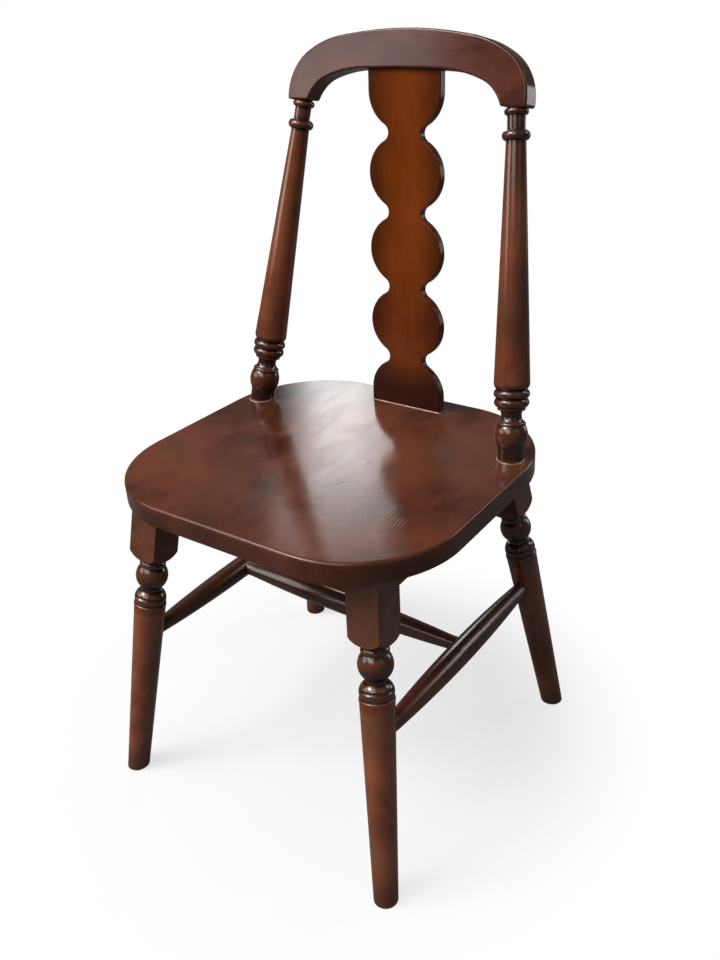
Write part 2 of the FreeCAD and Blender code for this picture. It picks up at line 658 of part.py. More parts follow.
# Back splat: round lobes one above the other, joined by small hollows, as many as have their
# centres between the seat and the arch
ARCH_Z = f"({CREST_BOTTOM_Z} + {arch_rise('inner')} * cos(crest_lean))"
SPLAT_TOP = f"(({ARCH_Z} - seat_height) / cos(splat_lean) + splat_head_tongue)"
LOBE_ROOM = f"({SPLAT_TOP} - splat_head_tongue - splat_first_lobe)"
LOBES = 1 + int(size(LOBE_ROOM) / size("splat_lobe_pitch"))
HALF_LINK = "(sqrt(splat_lobe_growth^2 + splat_lobe_pitch^2) / 2)"
LOBE_SHARE = "(splat_lobe_radius / (splat_lobe_radius + splat_hollow_radius))"
HOLLOW_REACH = f"(sqrt((splat_lobe_radius + splat_hollow_radius)^2 - {HALF_LINK}^2) / {HALF_LINK})"
UP_X = f"({LOBE_SHARE} * (splat_lobe_pitch * {HOLLOW_REACH} - splat_lobe_growth) / 2)"
UP_Y = f"({LOBE_SHARE} * (splat_lobe_growth * {HOLLOW_REACH} + splat_lobe_pitch) / 2)"
DOWN_X = f"({LOBE_SHARE} * (splat_lobe_pitch * {HOLLOW_REACH} + splat_lobe_growth) / 2)"
DOWN_Y = f"({LOBE_SHARE} * (splat_lobe_growth * {HOLLOW_REACH} - splat_lobe_pitch) / 2)"


def arc_swell(radius, chord_squared):
    return f"({radius} - sqrt({radius}^2 - ({chord_squared}) / 4))"


def lobe_x(number):
    """Centre of a lobe's arc on the +x side, the lowest lobe being number 0."""
    return f"(splat_top_half_width + splat_lobe_growth * {LOBES - 1 - number} - splat_lobe_radius)"


def lobe_y(number):
    return f"(splat_first_lobe + splat_lobe_pitch * {number})"


def splat_side():
    """Corners of the +x side from the foot tongue up to the head tongue."""
    radius = "splat_lobe_radius"
    low_x = f"({lobe_x(0)} + {radius})"
    top_x = f"({lobe_x(LOBES - 1)} + {radius})"
    lobe = arc_swell(radius, f"(2 * {LOBE_SHARE} * {HALF_LINK})^2")
    hollow = arc_swell("splat_hollow_radius", f"(2 * (1 - {LOBE_SHARE}) * {HALF_LINK})^2")
    first = arc_swell(radius, f"({UP_X} - {radius})^2 + {UP_Y}^2")
    last = arc_swell(radius, f"({DOWN_X} - {radius})^2 + {DOWN_Y}^2")
    corners = [(low_x, SPLAT_FOOT, "0"), (low_x, lobe_y(0), "0")]
    for number in range(LOBES - 1):
        corners.append((f"({lobe_x(number)} + {UP_X})", f"({lobe_y(number)} + {UP_Y})",
                        lobe if number else first))
        corners.append((f"({lobe_x(number + 1)} + {DOWN_X})", f"({lobe_y(number + 1)} + {DOWN_Y})",
                        f"-{hollow}"))
    corners += [(top_x, lobe_y(LOBES - 1), last), (top_x, SPLAT_TOP, "0")]
    return corners


def splat_board():
    """The splat with its outline mirrored and its long edges eased."""
    side = splat_side()
    swells = ["0"] + [swell for x, y, swell in side[:0:-1]]
    other = [(minus(x), y, swell) for (x, y, own), swell in zip(side[::-1], swells)]
    body = padded("back_splat", "XZ_Plane", side + other, "splat_thickness", reverse=True)
    ends = (size(SPLAT_FOOT), size(SPLAT_TOP))

    def along_side(edge):
        flat = edge.BoundBox.YMax - edge.BoundBox.YMin < TOUCH
        return flat and all(abs(edge.CenterOfMass.z - end) > 0.1 for end in ends)

    rounded(body, "splat_edges", "splat_edge_round", along_side)
    place(body, "0", SPLAT_FRONT_Y, "seat_height", "rotation(vector(1; 0; 0); -splat_lean)")
    return body


def splat_mortise(name, half_width, low, high):
    """Room for one end of the splat, with a gap on every side."""
    body = box(name, f"{half_width} + fit_gap", "-fit_gap", "splat_thickness + fit_gap", low, high)
    place(body, "0", SPLAT_FRONT_Y, "seat_height", "rotation(vector(1; 0; 0); -splat_lean)")
    return body


# Corner blocks and wood screws inside the seat frame
def corner_signs(side):
    """Direction from a leg on the +x side towards the middle of the chair."""
    return (-1, 1) if side == "front" else (-1, -1)


def corner_point(side, reach, spread, axis):
    """A spot along the inward diagonal of a leg, and off it by spread, as a rule."""
    sign_x, sign_y = corner_signs(side)
    if axis == "x":
        return f"({leg_top(side, 'x')} + ({sign_x}) * (({reach}) + ({spread})) / sqrt(2))"
    return f"({leg_top(side, 'y')} + ({sign_y}) * (({reach}) - ({spread})) / sqrt(2))"


BLOCK_NEAR = "(corner_block_reach / sqrt(2))"
BLOCK_FAR = f"({BLOCK_NEAR} + corner_block_thickness)"


def corner_blank(side):
    """A diagonal board that reaches into both rails, to be fitted between them."""
    near = f"({BLOCK_NEAR} + corner_block_spare)"
    far = f"({BLOCK_FAR} + corner_block_spare)"
    spots = ((BLOCK_NEAR, minus(near)), (BLOCK_FAR, minus(far)), (BLOCK_FAR, far), (BLOCK_NEAR, near))
    corners = [(corner_point(side, reach, spread, "x"), corner_point(side, reach, spread, "y"), "0")
               for reach, spread in spots]
    body = padded(f"corner_blank_{side}", "XY_Plane", corners, "corner_block_height", reverse=True)
    place(body, "0", "0", UNDERSIDE, NO_TURN)
    return body


def screw(name, length, gap):
    """A countersunk wood screw along +z with its head's flat face at the origin."""
    head = f"(screw_head_radius + {gap})"
    shank = f"(screw_radius + {gap})"
    stations = [(f"-{gap} * 2", head, "0"), ("screw_head_height", shank, "0"),
                (f"{length} + {gap}", shank, "0")]
    if gap == "0":
        stations[0] = ("0", head, "0")
    return turned(name, stations, "Z")


def seat_screw(side, name, gap):
    """The screw up through the middle of a corner block into the seat."""
    middle = f"(({BLOCK_NEAR} + {BLOCK_FAR}) / 2)"
    piece = screw(name, "corner_block_height + seat_thickness - seat_screw_web", gap)
    place(piece, corner_point(side, middle, "0", "x"), corner_point(side, middle, "0", "y"),
          f"{UNDERSIDE} - corner_block_height", NO_TURN)
    return piece


def block_screw(side, number, name, gap):
    """A level screw along the diagonal, through one end of a corner block into a rail."""
    spread = minus("block_screw_spread") if number == 0 else "block_screw_spread"
    sign_x, sign_y = corner_signs(side)
    piece = screw(name, "block_screw_length", gap)
    place(piece, corner_point(side, BLOCK_FAR, spread, "x"), corner_point(side, BLOCK_FAR, spread, "y"),
          f"{UNDERSIDE} - corner_block_height / 2",
          f"rotation(vector({sign_y}; {-sign_x}; 0); 90)")
    return piece


def group(name, pieces):
    """Loose pieces of one kind in one node."""
    compound = doc.addObject("Part::Compound", name)
    compound.Links = pieces
    compound.Label = name
    return compound


seat_slab = seat_blank()
crest_board = crest_blank()
splat = splat_board()
floor = doc.addObject("Part::Box", "floor_trim")
for side_name in ("Length", "Width"):
    bind(floor, side_name, "4 * seat_front_half_width")
bind(floor, "Height", f"10 * {EXTRA}")
place(floor, "-2 * seat_front_half_width", "-2 * seat_front_half_width", f"-10 * {EXTRA}", NO_TURN)

finished = {}
legs = {side: leg_blank(side) for side in ("front", "back")}
leg_twins = {side: twin(f"leg_{side}_blank_twin", legs[side]) for side in legs}
rail_ends = {"front": (legs["front"], leg_twins["front"]), "back": (legs["back"], leg_twins["back"]),
             "side": (legs["front"], legs["back"])}

# Corner blocks, with the screws that hold them to the rails and the seat to them
rail_boards = {side: rail_board(f"rail_{side}_board", side, "rail_thickness / 2",
                                "-rail_height", EXTRA, "0") for side in rail_ends}
seat_holes = []
rail_holes = {side: [] for side in rail_ends}
seat_screws = []
block_screws = []
for side in ("front", "back"):
    holes = [seat_screw(side, f"seat_screw_hole_{side}", "fit_gap")]
    seat_holes.append(holes[0])
    seat_screws.append(seat_screw(side, f"seat_screw_{side}", "0"))
    for number in (0, 1):
        holes.append(block_screw(side, number, f"block_screw_hole_{side}_{number}", "fit_gap"))
        block_screws.append(block_screw(side, number, f"block_screw_{side}_{number}", "0"))
        rail_holes["side" if number == 0 else side].append(holes[-1])
    block = cut(f"corner_block_{side}_left", corner_blank(side),
                [legs[side], rail_boards[side], rail_boards["side"]] + holes)
    finished[block.Label] = block
    finished[f"corner_block_{side}_right"] = twin(f"corner_block_{side}_right", block)
finished["seat_screws"] = group("seat_screws", seat_screws + [
    twin(f"{piece.Name}_twin", piece) for piece in seat_screws])
finished["corner_block_screws"] = group("corner_block_screws", block_screws + [
    twin(f"{piece.Name}_twin", piece) for piece in block_screws])

# Rails between the leg blocks
for side, neighbours in rail_ends.items():
    holes = rail_holes[side]
    if side != "side":
        holes = holes + [twin(f"{hole.Name}_twin", hole) for hole in holes]
    board = cut(f"rail_{side}_shouldered", rail_boards[side], list(neighbours) + [seat_slab])
    whole = joined(f"rail_{side}_tenoned", [board, rail_tenon(f"rail_{side}_tenon", side, "0")])
    name = "rail_left" if side == "side" else f"rail_{side}"
    finished[name] = cut(name, whole, holes)
finished["rail_right"] = twin("rail_right", finished["rail_left"])

# Stretchers and legs
side_bar = side_stretcher("side_bar", "0")
side_bore = side_stretcher("side_bar_bore", "fit_gap")
cross_bore = cross_stretcher("cross_bar_bore", "fit_gap")
finished["stretcher_left"] = cut("stretcher_left", side_bar, [cross_bore])
finished["stretcher_right"] = twin("stretcher_right", finished["stretcher_left"])
finished["stretcher_cross"] = cross_stretcher("stretcher_cross", "0")
side_mortise = rail_tenon("rail_side_mortise", "side", "fit_gap")
for side in ("front", "back"):
    end_mortise = rail_tenon(f"rail_{side}_mortise", side, "fit_gap")
    leg = cut(f"leg_{side}_fitted", legs[side], [seat_slab, floor, side_mortise, end_mortise, side_bore])
    finished[f"leg_{side}_left"] = bevelled_foot(f"leg_{side}_left", leg)
    finished[f"leg_{side}_right"] = twin(f"leg_{side}_right", finished[f"leg_{side}_left"])

# Posts, splat, crest rail and seat
foot_socket = post_foot_tenon("post_foot_socket", "fit_gap")
head_socket = post_head_tenon("post_head_socket", "fit_gap")
post_shaft = cut("post_trimmed", post_blank(), [seat_slab, crest_board])
finished["back_post_left"] = joined("back_post_left", [
    post_shaft, post_foot_tenon("post_foot_tenon", "0"), post_head_tenon("post_head_tenon", "0")])
finished["back_post_right"] = twin("back_post_right", finished["back_post_left"])
finished["back_splat"] = splat
seat_mortise = splat_mortise("splat_seat_mortise", f"{lobe_x(0)} + splat_lobe_radius",
                             f"{SPLAT_FOOT} - fit_gap", EXTRA)
crest_mortise = splat_mortise("splat_crest_mortise", f"{lobe_x(LOBES - 1)} + splat_lobe_radius",
                              f"{SPLAT_TOP} - 3 * splat_head_tongue", f"{SPLAT_TOP} + fit_gap")
finished["crest_rail"] = cut("crest_rail", crest_board, [
    crest_mortise, head_socket, twin("post_head_socket_twin", head_socket)])
finished["seat"] = cut("seat", seat_slab, [
    seat_mortise, foot_socket, twin("post_foot_socket_twin", foot_socket)] + seat_holes + [
    twin(f"{hole.Name}_twin", hole) for hole in seat_holes])

doc.recompute()
faults = [item.Label for item in doc.Objects if "Invalid" in item.State or "Error" in item.State]
for name, piece in finished.items():
    if piece.Shape.isNull() or not piece.Shape.isValid():
        faults.append(name)
if faults:
    raise RuntimeError("not sound: " + ", ".join(faults))

os.makedirs("parts", exist_ok=True)
for name, piece in finished.items():
    piece.Shape.exportStep(os.path.join("parts", f"{name}.step"))
    bounds = piece.Shape.BoundBox
    print(name, len(piece.Shape.Solids), "solids", round(piece.Shape.Volume / 1000, 1), "cm3",
          [round(value, 1) for value in (bounds.XMin, bounds.YMin, bounds.ZMin,
                                         bounds.XMax, bounds.YMax, bounds.ZMax)])
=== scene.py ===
"""Looks of the scalloped-back dining chair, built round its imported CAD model."""

import json
import logging
import math
from abc import ABC, abstractmethod
from dataclasses import dataclass
from enum import Enum
from typing import Any, Iterable, Union

import bpy
import numpy as np
from mathutils import Matrix, Vector

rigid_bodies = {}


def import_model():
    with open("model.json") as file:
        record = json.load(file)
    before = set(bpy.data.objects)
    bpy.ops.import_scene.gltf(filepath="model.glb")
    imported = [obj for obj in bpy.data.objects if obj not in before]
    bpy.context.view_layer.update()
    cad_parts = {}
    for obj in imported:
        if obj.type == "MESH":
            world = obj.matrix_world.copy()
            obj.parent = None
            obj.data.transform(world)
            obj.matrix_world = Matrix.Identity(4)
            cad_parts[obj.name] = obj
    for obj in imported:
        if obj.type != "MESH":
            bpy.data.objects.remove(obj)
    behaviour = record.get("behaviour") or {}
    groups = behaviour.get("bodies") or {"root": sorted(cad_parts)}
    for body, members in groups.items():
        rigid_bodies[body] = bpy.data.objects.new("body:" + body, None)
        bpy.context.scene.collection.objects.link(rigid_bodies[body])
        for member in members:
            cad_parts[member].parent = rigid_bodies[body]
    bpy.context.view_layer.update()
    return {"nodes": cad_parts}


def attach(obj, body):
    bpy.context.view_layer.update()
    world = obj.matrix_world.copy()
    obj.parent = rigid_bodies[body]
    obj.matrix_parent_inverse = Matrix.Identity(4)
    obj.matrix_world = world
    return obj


LOG = logging.getLogger("chair")
Colour = tuple[float, float, float]
Point = tuple[float, float, float]
Value = Union["Signal", float]

FULL_TURN = 2.0 * math.pi
WHITE = (1.0, 1.0, 1.0)


class Maths(Enum):
    """The Math operations that shader expressions use."""

    ADD = "ADD"
    SUBTRACT = "SUBTRACT"
    MULTIPLY = "MULTIPLY"
    DIVIDE = "DIVIDE"
    POWER = "POWER"
    ABSOLUTE = "ABSOLUTE"
    MINIMUM = "MINIMUM"
    MAXIMUM = "MAXIMUM"
    SINE = "SINE"


class Direction(Enum):
    """Axis of a piece's own frame that its grain runs along."""

    X = 0
    Y = 1
    Z = 2


class Side(Enum):
    """The sitter's left and right, with the sign of x there."""

    LEFT = 1.0
    RIGHT = -1.0

    @property
    def label(self) -> str:
        """The side's word in the names of pieces."""
        return self.name.lower()


class Signal:
    """A number socket with Python's operators, so shader maths reads as an expression."""

    def __init__(self, graph: "Graph", socket: Any) -> None:
        """Keep the socket and the graph that it belongs to.

        Args:
            graph: graph that new nodes are added to.
            socket: output socket that carries the value.
        """
        self.graph = graph
        self.socket = socket

    def _with(self, kind: Maths, first: Value, second: Value) -> "Signal":
        """Add one Math node.

        Args:
            kind: the operation.
            first: left operand.
            second: right operand.

        Returns:
            The result.
        """
        return self.graph.node("ShaderNodeMath", {"operation": kind.value}, {0: first, 1: second})

    def __add__(self, other: Value) -> "Signal":
        """Sum."""
        return self._with(Maths.ADD, self, other)

    def __radd__(self, other: float) -> "Signal":
        """Sum with a plain number first."""
        return self._with(Maths.ADD, other, self)

    def __sub__(self, other: Value) -> "Signal":
        """Difference."""
        return self._with(Maths.SUBTRACT, self, other)

    def __rsub__(self, other: float) -> "Signal":
        """Difference from a plain number."""
        return self._with(Maths.SUBTRACT, other, self)

    def __mul__(self, other: Value) -> "Signal":
        """Product."""
        return self._with(Maths.MULTIPLY, self, other)

    def __rmul__(self, other: float) -> "Signal":
        """Product with a plain number first."""
        return self._with(Maths.MULTIPLY, other, self)

    def __truediv__(self, other: Value) -> "Signal":
        """Quotient."""
        return self._with(Maths.DIVIDE, self, other)

    def __pow__(self, other: Value) -> "Signal":
        """Power."""
        return self._with(Maths.POWER, self, other)

    def __abs__(self) -> "Signal":
        """Size without sign."""
        return self._with(Maths.ABSOLUTE, self, 0.0)

    def sine(self) -> "Signal":
        """Sine of an angle in radians."""
        return self._with(Maths.SINE, self, 0.0)

    def clipped(self, low: float = 0.0, high: float = 1.0) -> "Signal":
        """Keep the value between two limits."""
        return self._with(Maths.MINIMUM, self._with(Maths.MAXIMUM, self, low), high)

    def step(self, low: float, high: float) -> "Signal":
        """Smooth step from 0 at low to 1 at high (or falling where low is the larger)."""
        return self.graph.node("ShaderNodeMapRange", {"interpolation_type": "SMOOTHSTEP"},
                               {"Value": self, "From Min": low, "From Max": high})


class Graph:
    """The node tree of one material or world."""

    def __init__(self, owner: Any) -> None:
        """Start an empty tree.

        Args:
            owner: the material or world.
        """
        owner.use_nodes = True
        self.tree = owner.node_tree
        self.tree.nodes.clear()

    def plug(self, socket: Any, value: Any) -> None:
        """Link a signal or an output to a socket, or set the socket's plain value."""
        if isinstance(value, Signal):
            self.tree.links.new(value.socket, socket)
        elif isinstance(value, bpy.types.NodeSocket):
            self.tree.links.new(value, socket)
        else:
            socket.default_value = value

    def add(self, kind: str, settings: dict[str, Any], inputs: dict[Any, Any]) -> Any:
        """Add a node, with its settings first and then its sockets.

        Args:
            kind: node type.
            settings: node properties; "stops" are a colour ramp's (place, colour) pairs.
            inputs: values or links by socket name or number.

        Returns:
            The node.
        """
        node = self.tree.nodes.new(kind)
        for name, value in settings.items():
            if name == "stops":
                self._fill_ramp(node.color_ramp, value)
            else:
                setattr(node, name, value)
        for key, value in inputs.items():
            self.plug(node.inputs[key], value)
        return node

    def vector(self, kind: str, settings: dict[str, Any], inputs: dict[Any, Any],
               output: Union[int, str] = 0) -> Any:
        """Add a node and return one of its outputs as it is."""
        return self.add(kind, settings, inputs).outputs[output]

    def node(self, kind: str, settings: dict[str, Any], inputs: dict[Any, Any],
             output: Union[int, str] = 0) -> Signal:
        """Add a node and wrap one of its outputs as a number."""
        return Signal(self, self.vector(kind, settings, inputs, output))

    def place(self) -> Any:
        """The object's own coordinates in metres."""
        return self.vector("ShaderNodeTexCoord", {}, {}, "Object")

    def noise(self, place: Any, scale: float, detail: float = 2.0, roughness: float = 0.5,
              distortion: float = 0.0) -> Signal:
        """Add a noise from 0 to 1, with its scale in cells per metre."""
        return self.node("ShaderNodeTexNoise", {}, {
            "Vector": place, "Scale": scale, "Detail": detail, "Roughness": roughness,
            "Distortion": distortion})

    def bump(self, height: Signal, strength: float = 1.0, distance: float = 1.0,
             normal: Any = None) -> Any:
        """Turn a height into a normal.

        Args:
            height: the height, in units of the distance.
            strength: share of the effect.
            distance: metres that a height of 1 stands for.
            normal: normal that the height is laid over; None is the mesh's own.

        Returns:
            The new normal.
        """
        inputs = {"Strength": strength, "Distance": distance, "Height": height}
        if normal is not None:
            inputs["Normal"] = normal
        return self.vector("ShaderNodeBump", {}, inputs)

    def blend(self, share: Value, low: Any, high: Any) -> Any:
        """Mix two colours.

        Args:
            share: how much of the second.
            low: colour or link at share 0.
            high: colour or link at share 1.

        Returns:
            The colour output.
        """
        node = self.tree.nodes.new("ShaderNodeMix")
        node.data_type = "RGBA"
        node.clamp_factor = True
        factor, first, second, result = 0, 6, 7, 2
        for index, value in ((factor, share), (first, low), (second, high)):
            self.plug(node.inputs[index], (*value, 1.0) if isinstance(value, tuple) else value)
        return node.outputs[result]

    @staticmethod
    def _fill_ramp(ramp: Any, stops: Iterable[tuple[float, Colour]]) -> None:
        """Give a colour ramp, which starts with two stops, its own ones."""
        for index, (place, colour) in enumerate(stops):
            stop = ramp.elements[index] if index < 2 else ramp.elements.new(place)
            stop.position = place
            stop.color = (*colour, 1.0)


def shade(colour: Colour, share: float) -> Colour:
    """A darker tone of a colour."""
    return tuple(share * part for part in colour)


@dataclass(frozen=True)
class Stain:
    """The three colours that a wood's tone runs through, as plain linear values."""

    dark: Colour
    warm: Colour
    light: Colour


@dataclass(frozen=True)
class Mark:
    """One pattern on a wood, from 0 to 1, and what it brings at 1.

    Where it has a colour, that colour covers its share of what lies below. The height is in
    units of the wood's relief, and the roughness is added to the lacquer's own.
    """

    pattern: Signal
    share: float = 1.0
    colour: Union[Colour, None] = None
    height: float = 0.0
    roughness: float = 0.0


@dataclass(frozen=True)
class Shading:
    """Darker colour on a board towards its sides and towards its lower end. On the seat it darkens
    only the side walls below the top edge, as painted shade. On the splat it darkens the sides and
    the foot by the seat.

    Each range is (where the board keeps its colour, where the darkening is full), in metres of the
    piece's own frame: side is the distance from the middle line, foot the height.
    """

    side: tuple[float, float]
    foot: tuple[float, float]
    strength: float
    side_share: float = 0.7

    def pattern(self, axes: list[Signal]) -> Signal:
        """How much darkening there is: what either range leaves clear is multiplied."""
        clear = 1.0 - abs(axes[0]).step(*self.side) * self.side_share
        return (1.0 - clear * (1.0 - axes[2].step(*self.foot))) * self.strength


@dataclass(frozen=True)
class GlazeAndShade:
    """A band of darker colour round a turning: its place along the axis, half width and strength.

    A narrow band at a groove is dark glazing left in the cut, together with painted shade of the
    recess. A broad band is painted shade over a leg's block under the seat, on the lower half of a
    ball and where a post meets the seat. It also darkens the turned ornaments, partly as their own
    darker tone and partly as painted shade, and one band makes each leg darker towards its foot.
    The core is the share of the half width that has the full strength. A band with a depth is also
    cut in as a line of that depth in metres.
    """

    place: float
    half_width: float
    strength: float = 0.85
    depth: float = 0.0
    core: float = 0.2

    def pattern(self, along: Signal) -> Signal:
        """How much darkening there is at a place along the axis, from glazing and painted shade."""
        reach = abs(along - self.place)
        return reach.step(self.half_width, self.half_width * self.core) * self.strength

    def cut(self, along: Signal) -> Signal:
        """Height of the cut line, a V as wide as the band, in metres."""
        return (abs(along - self.place) / self.half_width).clipped() * self.depth


@dataclass(frozen=True)
class Joint:
    """A glue joint between two boards, along y from its start to its end, in metres."""

    aside: float
    start: float
    end: float
    width: tuple[float, float] = (0.0008, 0.0001)
    fade: float = 0.02

    def pattern(self, axes: list[Signal]) -> Signal:
        """A thin line that fades out at both ends."""
        line = abs(axes[0] - self.aside).step(*self.width)
        return (line * axes[1].step(self.start, self.start + self.fade)
                * axes[1].step(self.end, self.end - self.fade))


@dataclass(frozen=True)
class Scuff:
    """A round patch of short fine scratches.

    The scratches are pale where only the lacquer is cut, and dark where dirt is in them.
    """

    centre: tuple[float, float]
    radius: float
    angle: float
    pitch: float
    strength: float
    pale: bool = True

    def pattern(self, axes: list[Signal], ragged: Signal) -> Signal:
        """Parallel lines at the scuff's angle, which a ragged noise breaks up.

        Args:
            axes: the piece's own coordinates.
            ragged: the noise.

        Returns:
            How much of a scratch there is.
        """
        aside = axes[0] - self.centre[0]
        ahead = axes[1] - self.centre[1]
        across = aside * -math.sin(self.angle) + ahead * math.cos(self.angle)
        stripes = (across * (FULL_TURN / self.pitch) + 0.5 * math.pi).sine()
        reach = (aside * aside + ahead * ahead) ** 0.5
        patch = reach.step(self.radius, self.radius * 0.5) * ragged.step(0.32, 0.5)
        return stripes.step(0.90, 0.995) * patch * self.strength


@dataclass(frozen=True)
class Finish(ABC):
    """A material made of shader nodes in the object's own coordinates."""

    name: str

    def build(self) -> bpy.types.Material:
        """Build the material."""
        material = bpy.data.materials.new(self.name)
        graph = Graph(material)
        shader = graph.vector("ShaderNodeBsdfPrincipled", {}, self.inputs(graph, graph.place()))
        graph.add("ShaderNodeOutputMaterial", {}, {"Surface": shader})
        return material

    @abstractmethod
    def inputs(self, graph: Graph, place: Any) -> dict[str, Any]:
        """Make what feeds the Principled shader.

        Args:
            graph: the material's graph.
            place: the object's own coordinates.

        Returns:
            The shader's inputs by socket name.
        """


@dataclass(frozen=True)
class Lacquer(Finish):
    """Dark glazed wood under a glossy lacquer.

    The colour runs from a dark glazing to a warm brown by broad clouds, fine fibres along the
    grain and short pores. Bands round turnings darken them: dark glazing and painted shade in the
    grooves, and painted shade over blocks and ornaments. A board can also be darker towards its
    edges, which on the seat's side walls is painted shade.

    Attributes:
        stain: colours of the wood's tone.
        grain: axis of the wood's frame that the grain and the glazes run along.
        turn: the wood's frame in the piece's, as Euler angles in radians.
        centre: origin of the wood's frame in metres.
        seed: moves the noises, so that no two pieces match.
        cloud_size: size of the clouds in metres; cloud_share is how far they move the tone.
        fibre_size: width of the fibres in metres; fibre_share is how far they move the tone.
        roughness: the clean lacquer's; least_roughness is the lowest anywhere.
        gloss: how strongly the lacquer mirrors, as the shader's specular level.
        relief: strength of the fine relief; relief_depth is its depth in metres.
        shading: darker colour towards the sides and the lower end, where the board has it; on the
            seat's side walls it is painted shade.
        hollow: height of the board's hollow per square metre, in metres.
        tint: another hue in patches; tint_share is how much of it covers the stain.
        rub: how far rubbed patches and untouched ones differ in roughness.
    """

    stain: Stain
    grain: Direction = Direction.Z
    turn: Point = (0.0, 0.0, 0.0)
    centre: Point = (0.0, 0.0, 0.0)
    seed: float = 0.0
    cloud_size: float = 0.09
    cloud_share: float = 0.62
    fibre_size: float = 0.0025
    fibre_share: float = 0.14
    roughness: float = 0.10
    least_roughness: float = 0.04
    gloss: float = 0.42
    relief: float = 0.08
    relief_depth: float = 0.0005
    joints: tuple[Joint, ...] = ()
    scuffs: tuple[Scuff, ...] = ()
    glazes: tuple[GlazeAndShade, ...] = ()
    shading: Union[Shading, None] = None
    hollow: float = 0.0
    tint: Union[Colour, None] = None
    tint_share: float = 0.35
    rub: float = 0.0

    def inputs(self, graph: Graph, place: Any) -> dict[str, Any]:
        """Make the colour, roughness and normal from one list of marks."""
        placed = graph.vector("ShaderNodeMapping", {"vector_type": "TEXTURE"}, {
            "Vector": place, "Location": self.centre, "Rotation": self.turn})
        split = graph.add("ShaderNodeSeparateXYZ", {}, {"Vector": placed})
        axes = [Signal(graph, split.outputs[index]) for index in range(3)]
        clouds = self._clouds(graph, placed)
        fibres = self._fibres(graph, placed)
        marks = [Mark(fibres, height=0.25, roughness=0.01),
                 Mark(clouds, height=0.2, roughness=0.01), *self._marks(graph, axes, placed)]
        tone = 0.5 + (clouds - 0.5) * self.cloud_share + (fibres - 0.5) * self.fibre_share
        colour = graph.vector("ShaderNodeValToRGB", {"stops": (
            (0.1, self.stain.dark), (0.5, self.stain.warm), (0.9, self.stain.light))},
            {"Fac": tone.clipped()})
        for mark in marks:
            if mark.colour is not None:
                colour = graph.blend(mark.pattern * mark.share, colour, mark.colour)
        height = sum((mark.pattern * mark.height for mark in marks if mark.height), 0.0)
        rough = sum((mark.pattern * mark.roughness for mark in marks if mark.roughness),
                    self.roughness - 0.5 * self.rub)
        normal = graph.bump(height, self.relief, self.relief_depth)
        return {"Base Color": colour, "Roughness": rough.clipped(self.least_roughness),
                "Normal": self._forms(graph, axes, normal), "Specular IOR Level": self.gloss}

    def _marks(self, graph: Graph, axes: list[Signal], place: Any) -> list[Mark]:
        """The marks that have a colour, from the lowest up, and the rubbed patches.

        Args:
            graph: the material's graph.
            axes: the piece's own coordinates.
            place: the same as one vector.

        Returns:
            The marks that this wood has.
        """
        dark = self.stain.dark
        deep = shade(dark, 0.35)
        marks = []
        if self.tint is not None:
            marks.append(Mark(self._patches(graph, place), self.tint_share, self.tint))
        marks.append(Mark(self._pores(graph, place), 0.3, deep, height=-0.4))
        # Bands round turnings: dark glazing with painted shade in the grooves, and painted shade
        # over the blocks, under the balls and at the posts' feet.
        if self.glazes:
            along = axes[self.grain.value]
            glaze_and_shade = sum((band.pattern(along) for band in self.glazes), 0.0).clipped()
            marks.append(Mark(glaze_and_shade, 1.0, shade(dark, 0.6)))
        # Darker towards the edges: painted shade on the seat's side walls.
        if self.shading is not None:
            marks.append(Mark(self.shading.pattern(axes), 1.0, dark, roughness=0.1))
        if self.rub > 0.0:
            marks.append(Mark(self._rubbed(graph, place), height=0.3, roughness=self.rub))
        if self.joints:
            broken = graph.noise(place, 45.0).step(0.36, 0.6)
            seams = sum((joint.pattern(axes) for joint in self.joints), 0.0) * broken
            marks.append(Mark(seams.clipped(), 0.35, (0.36, 0.24, 0.19), height=-0.8))
        for pale, share, colour in ((True, 0.6, (0.55, 0.42, 0.36)), (False, 0.7, deep)):
            scuffs = [scuff for scuff in self.scuffs if scuff.pale == pale]
            if scuffs:
                ragged = graph.noise(self._stretched(graph, place, 0.2), 420.0, detail=1.0)
                scratches = sum((scuff.pattern(axes, ragged) for scuff in scuffs), 0.0)
                marks.append(Mark(scratches.clipped(), share, colour, height=-0.8, roughness=0.3))
        return marks

    def _forms(self, graph: Graph, axes: list[Signal], normal: Any) -> Any:
        """Lay the forms with a depth in metres over the fine relief: a hollow and cut lines.

        The hollow's height grows with the square of the way from its middle, and half as fast
        sideways as along the board.

        Args:
            graph: the material's graph.
            axes: the piece's own coordinates.
            normal: normal of the fine relief.

        Returns:
            The new normal.
        """
        if self.hollow > 0.0:
            ahead = axes[1] - 0.1
            dish = (axes[0] * axes[0] * 0.5 + ahead * ahead) * self.hollow
            normal = graph.bump(dish, normal=normal)
        for band in self.glazes:
            if band.depth > 0.0:
                normal = graph.bump(band.cut(axes[self.grain.value]), normal=normal)
        return normal

    def _stretched(self, graph: Graph, place: Any, along: float) -> Any:
        """Coordinates that are squeezed along the grain.

        Args:
            graph: the material's graph.
            place: coordinates in the piece's own frame.
            along: scale along the grain, 1 across it.

        Returns:
            The squeezed coordinates, moved by the seed so that no two pieces match.
        """
        scale = [1.0, 1.0, 1.0]
        scale[self.grain.value] = along
        return graph.vector("ShaderNodeMapping", {}, {
            "Vector": place, "Scale": tuple(scale), "Location": (self.seed, 0.7 * self.seed, 0.0)})

    def _clouds(self, graph: Graph, place: Any) -> Signal:
        """Broad uneven glazing: soft noise, drawn out a little along the grain."""
        return graph.noise(self._stretched(graph, place, 0.75), 1.0 / self.cloud_size,
                           detail=4.0, roughness=0.55, distortion=0.3).step(0.28, 0.74)

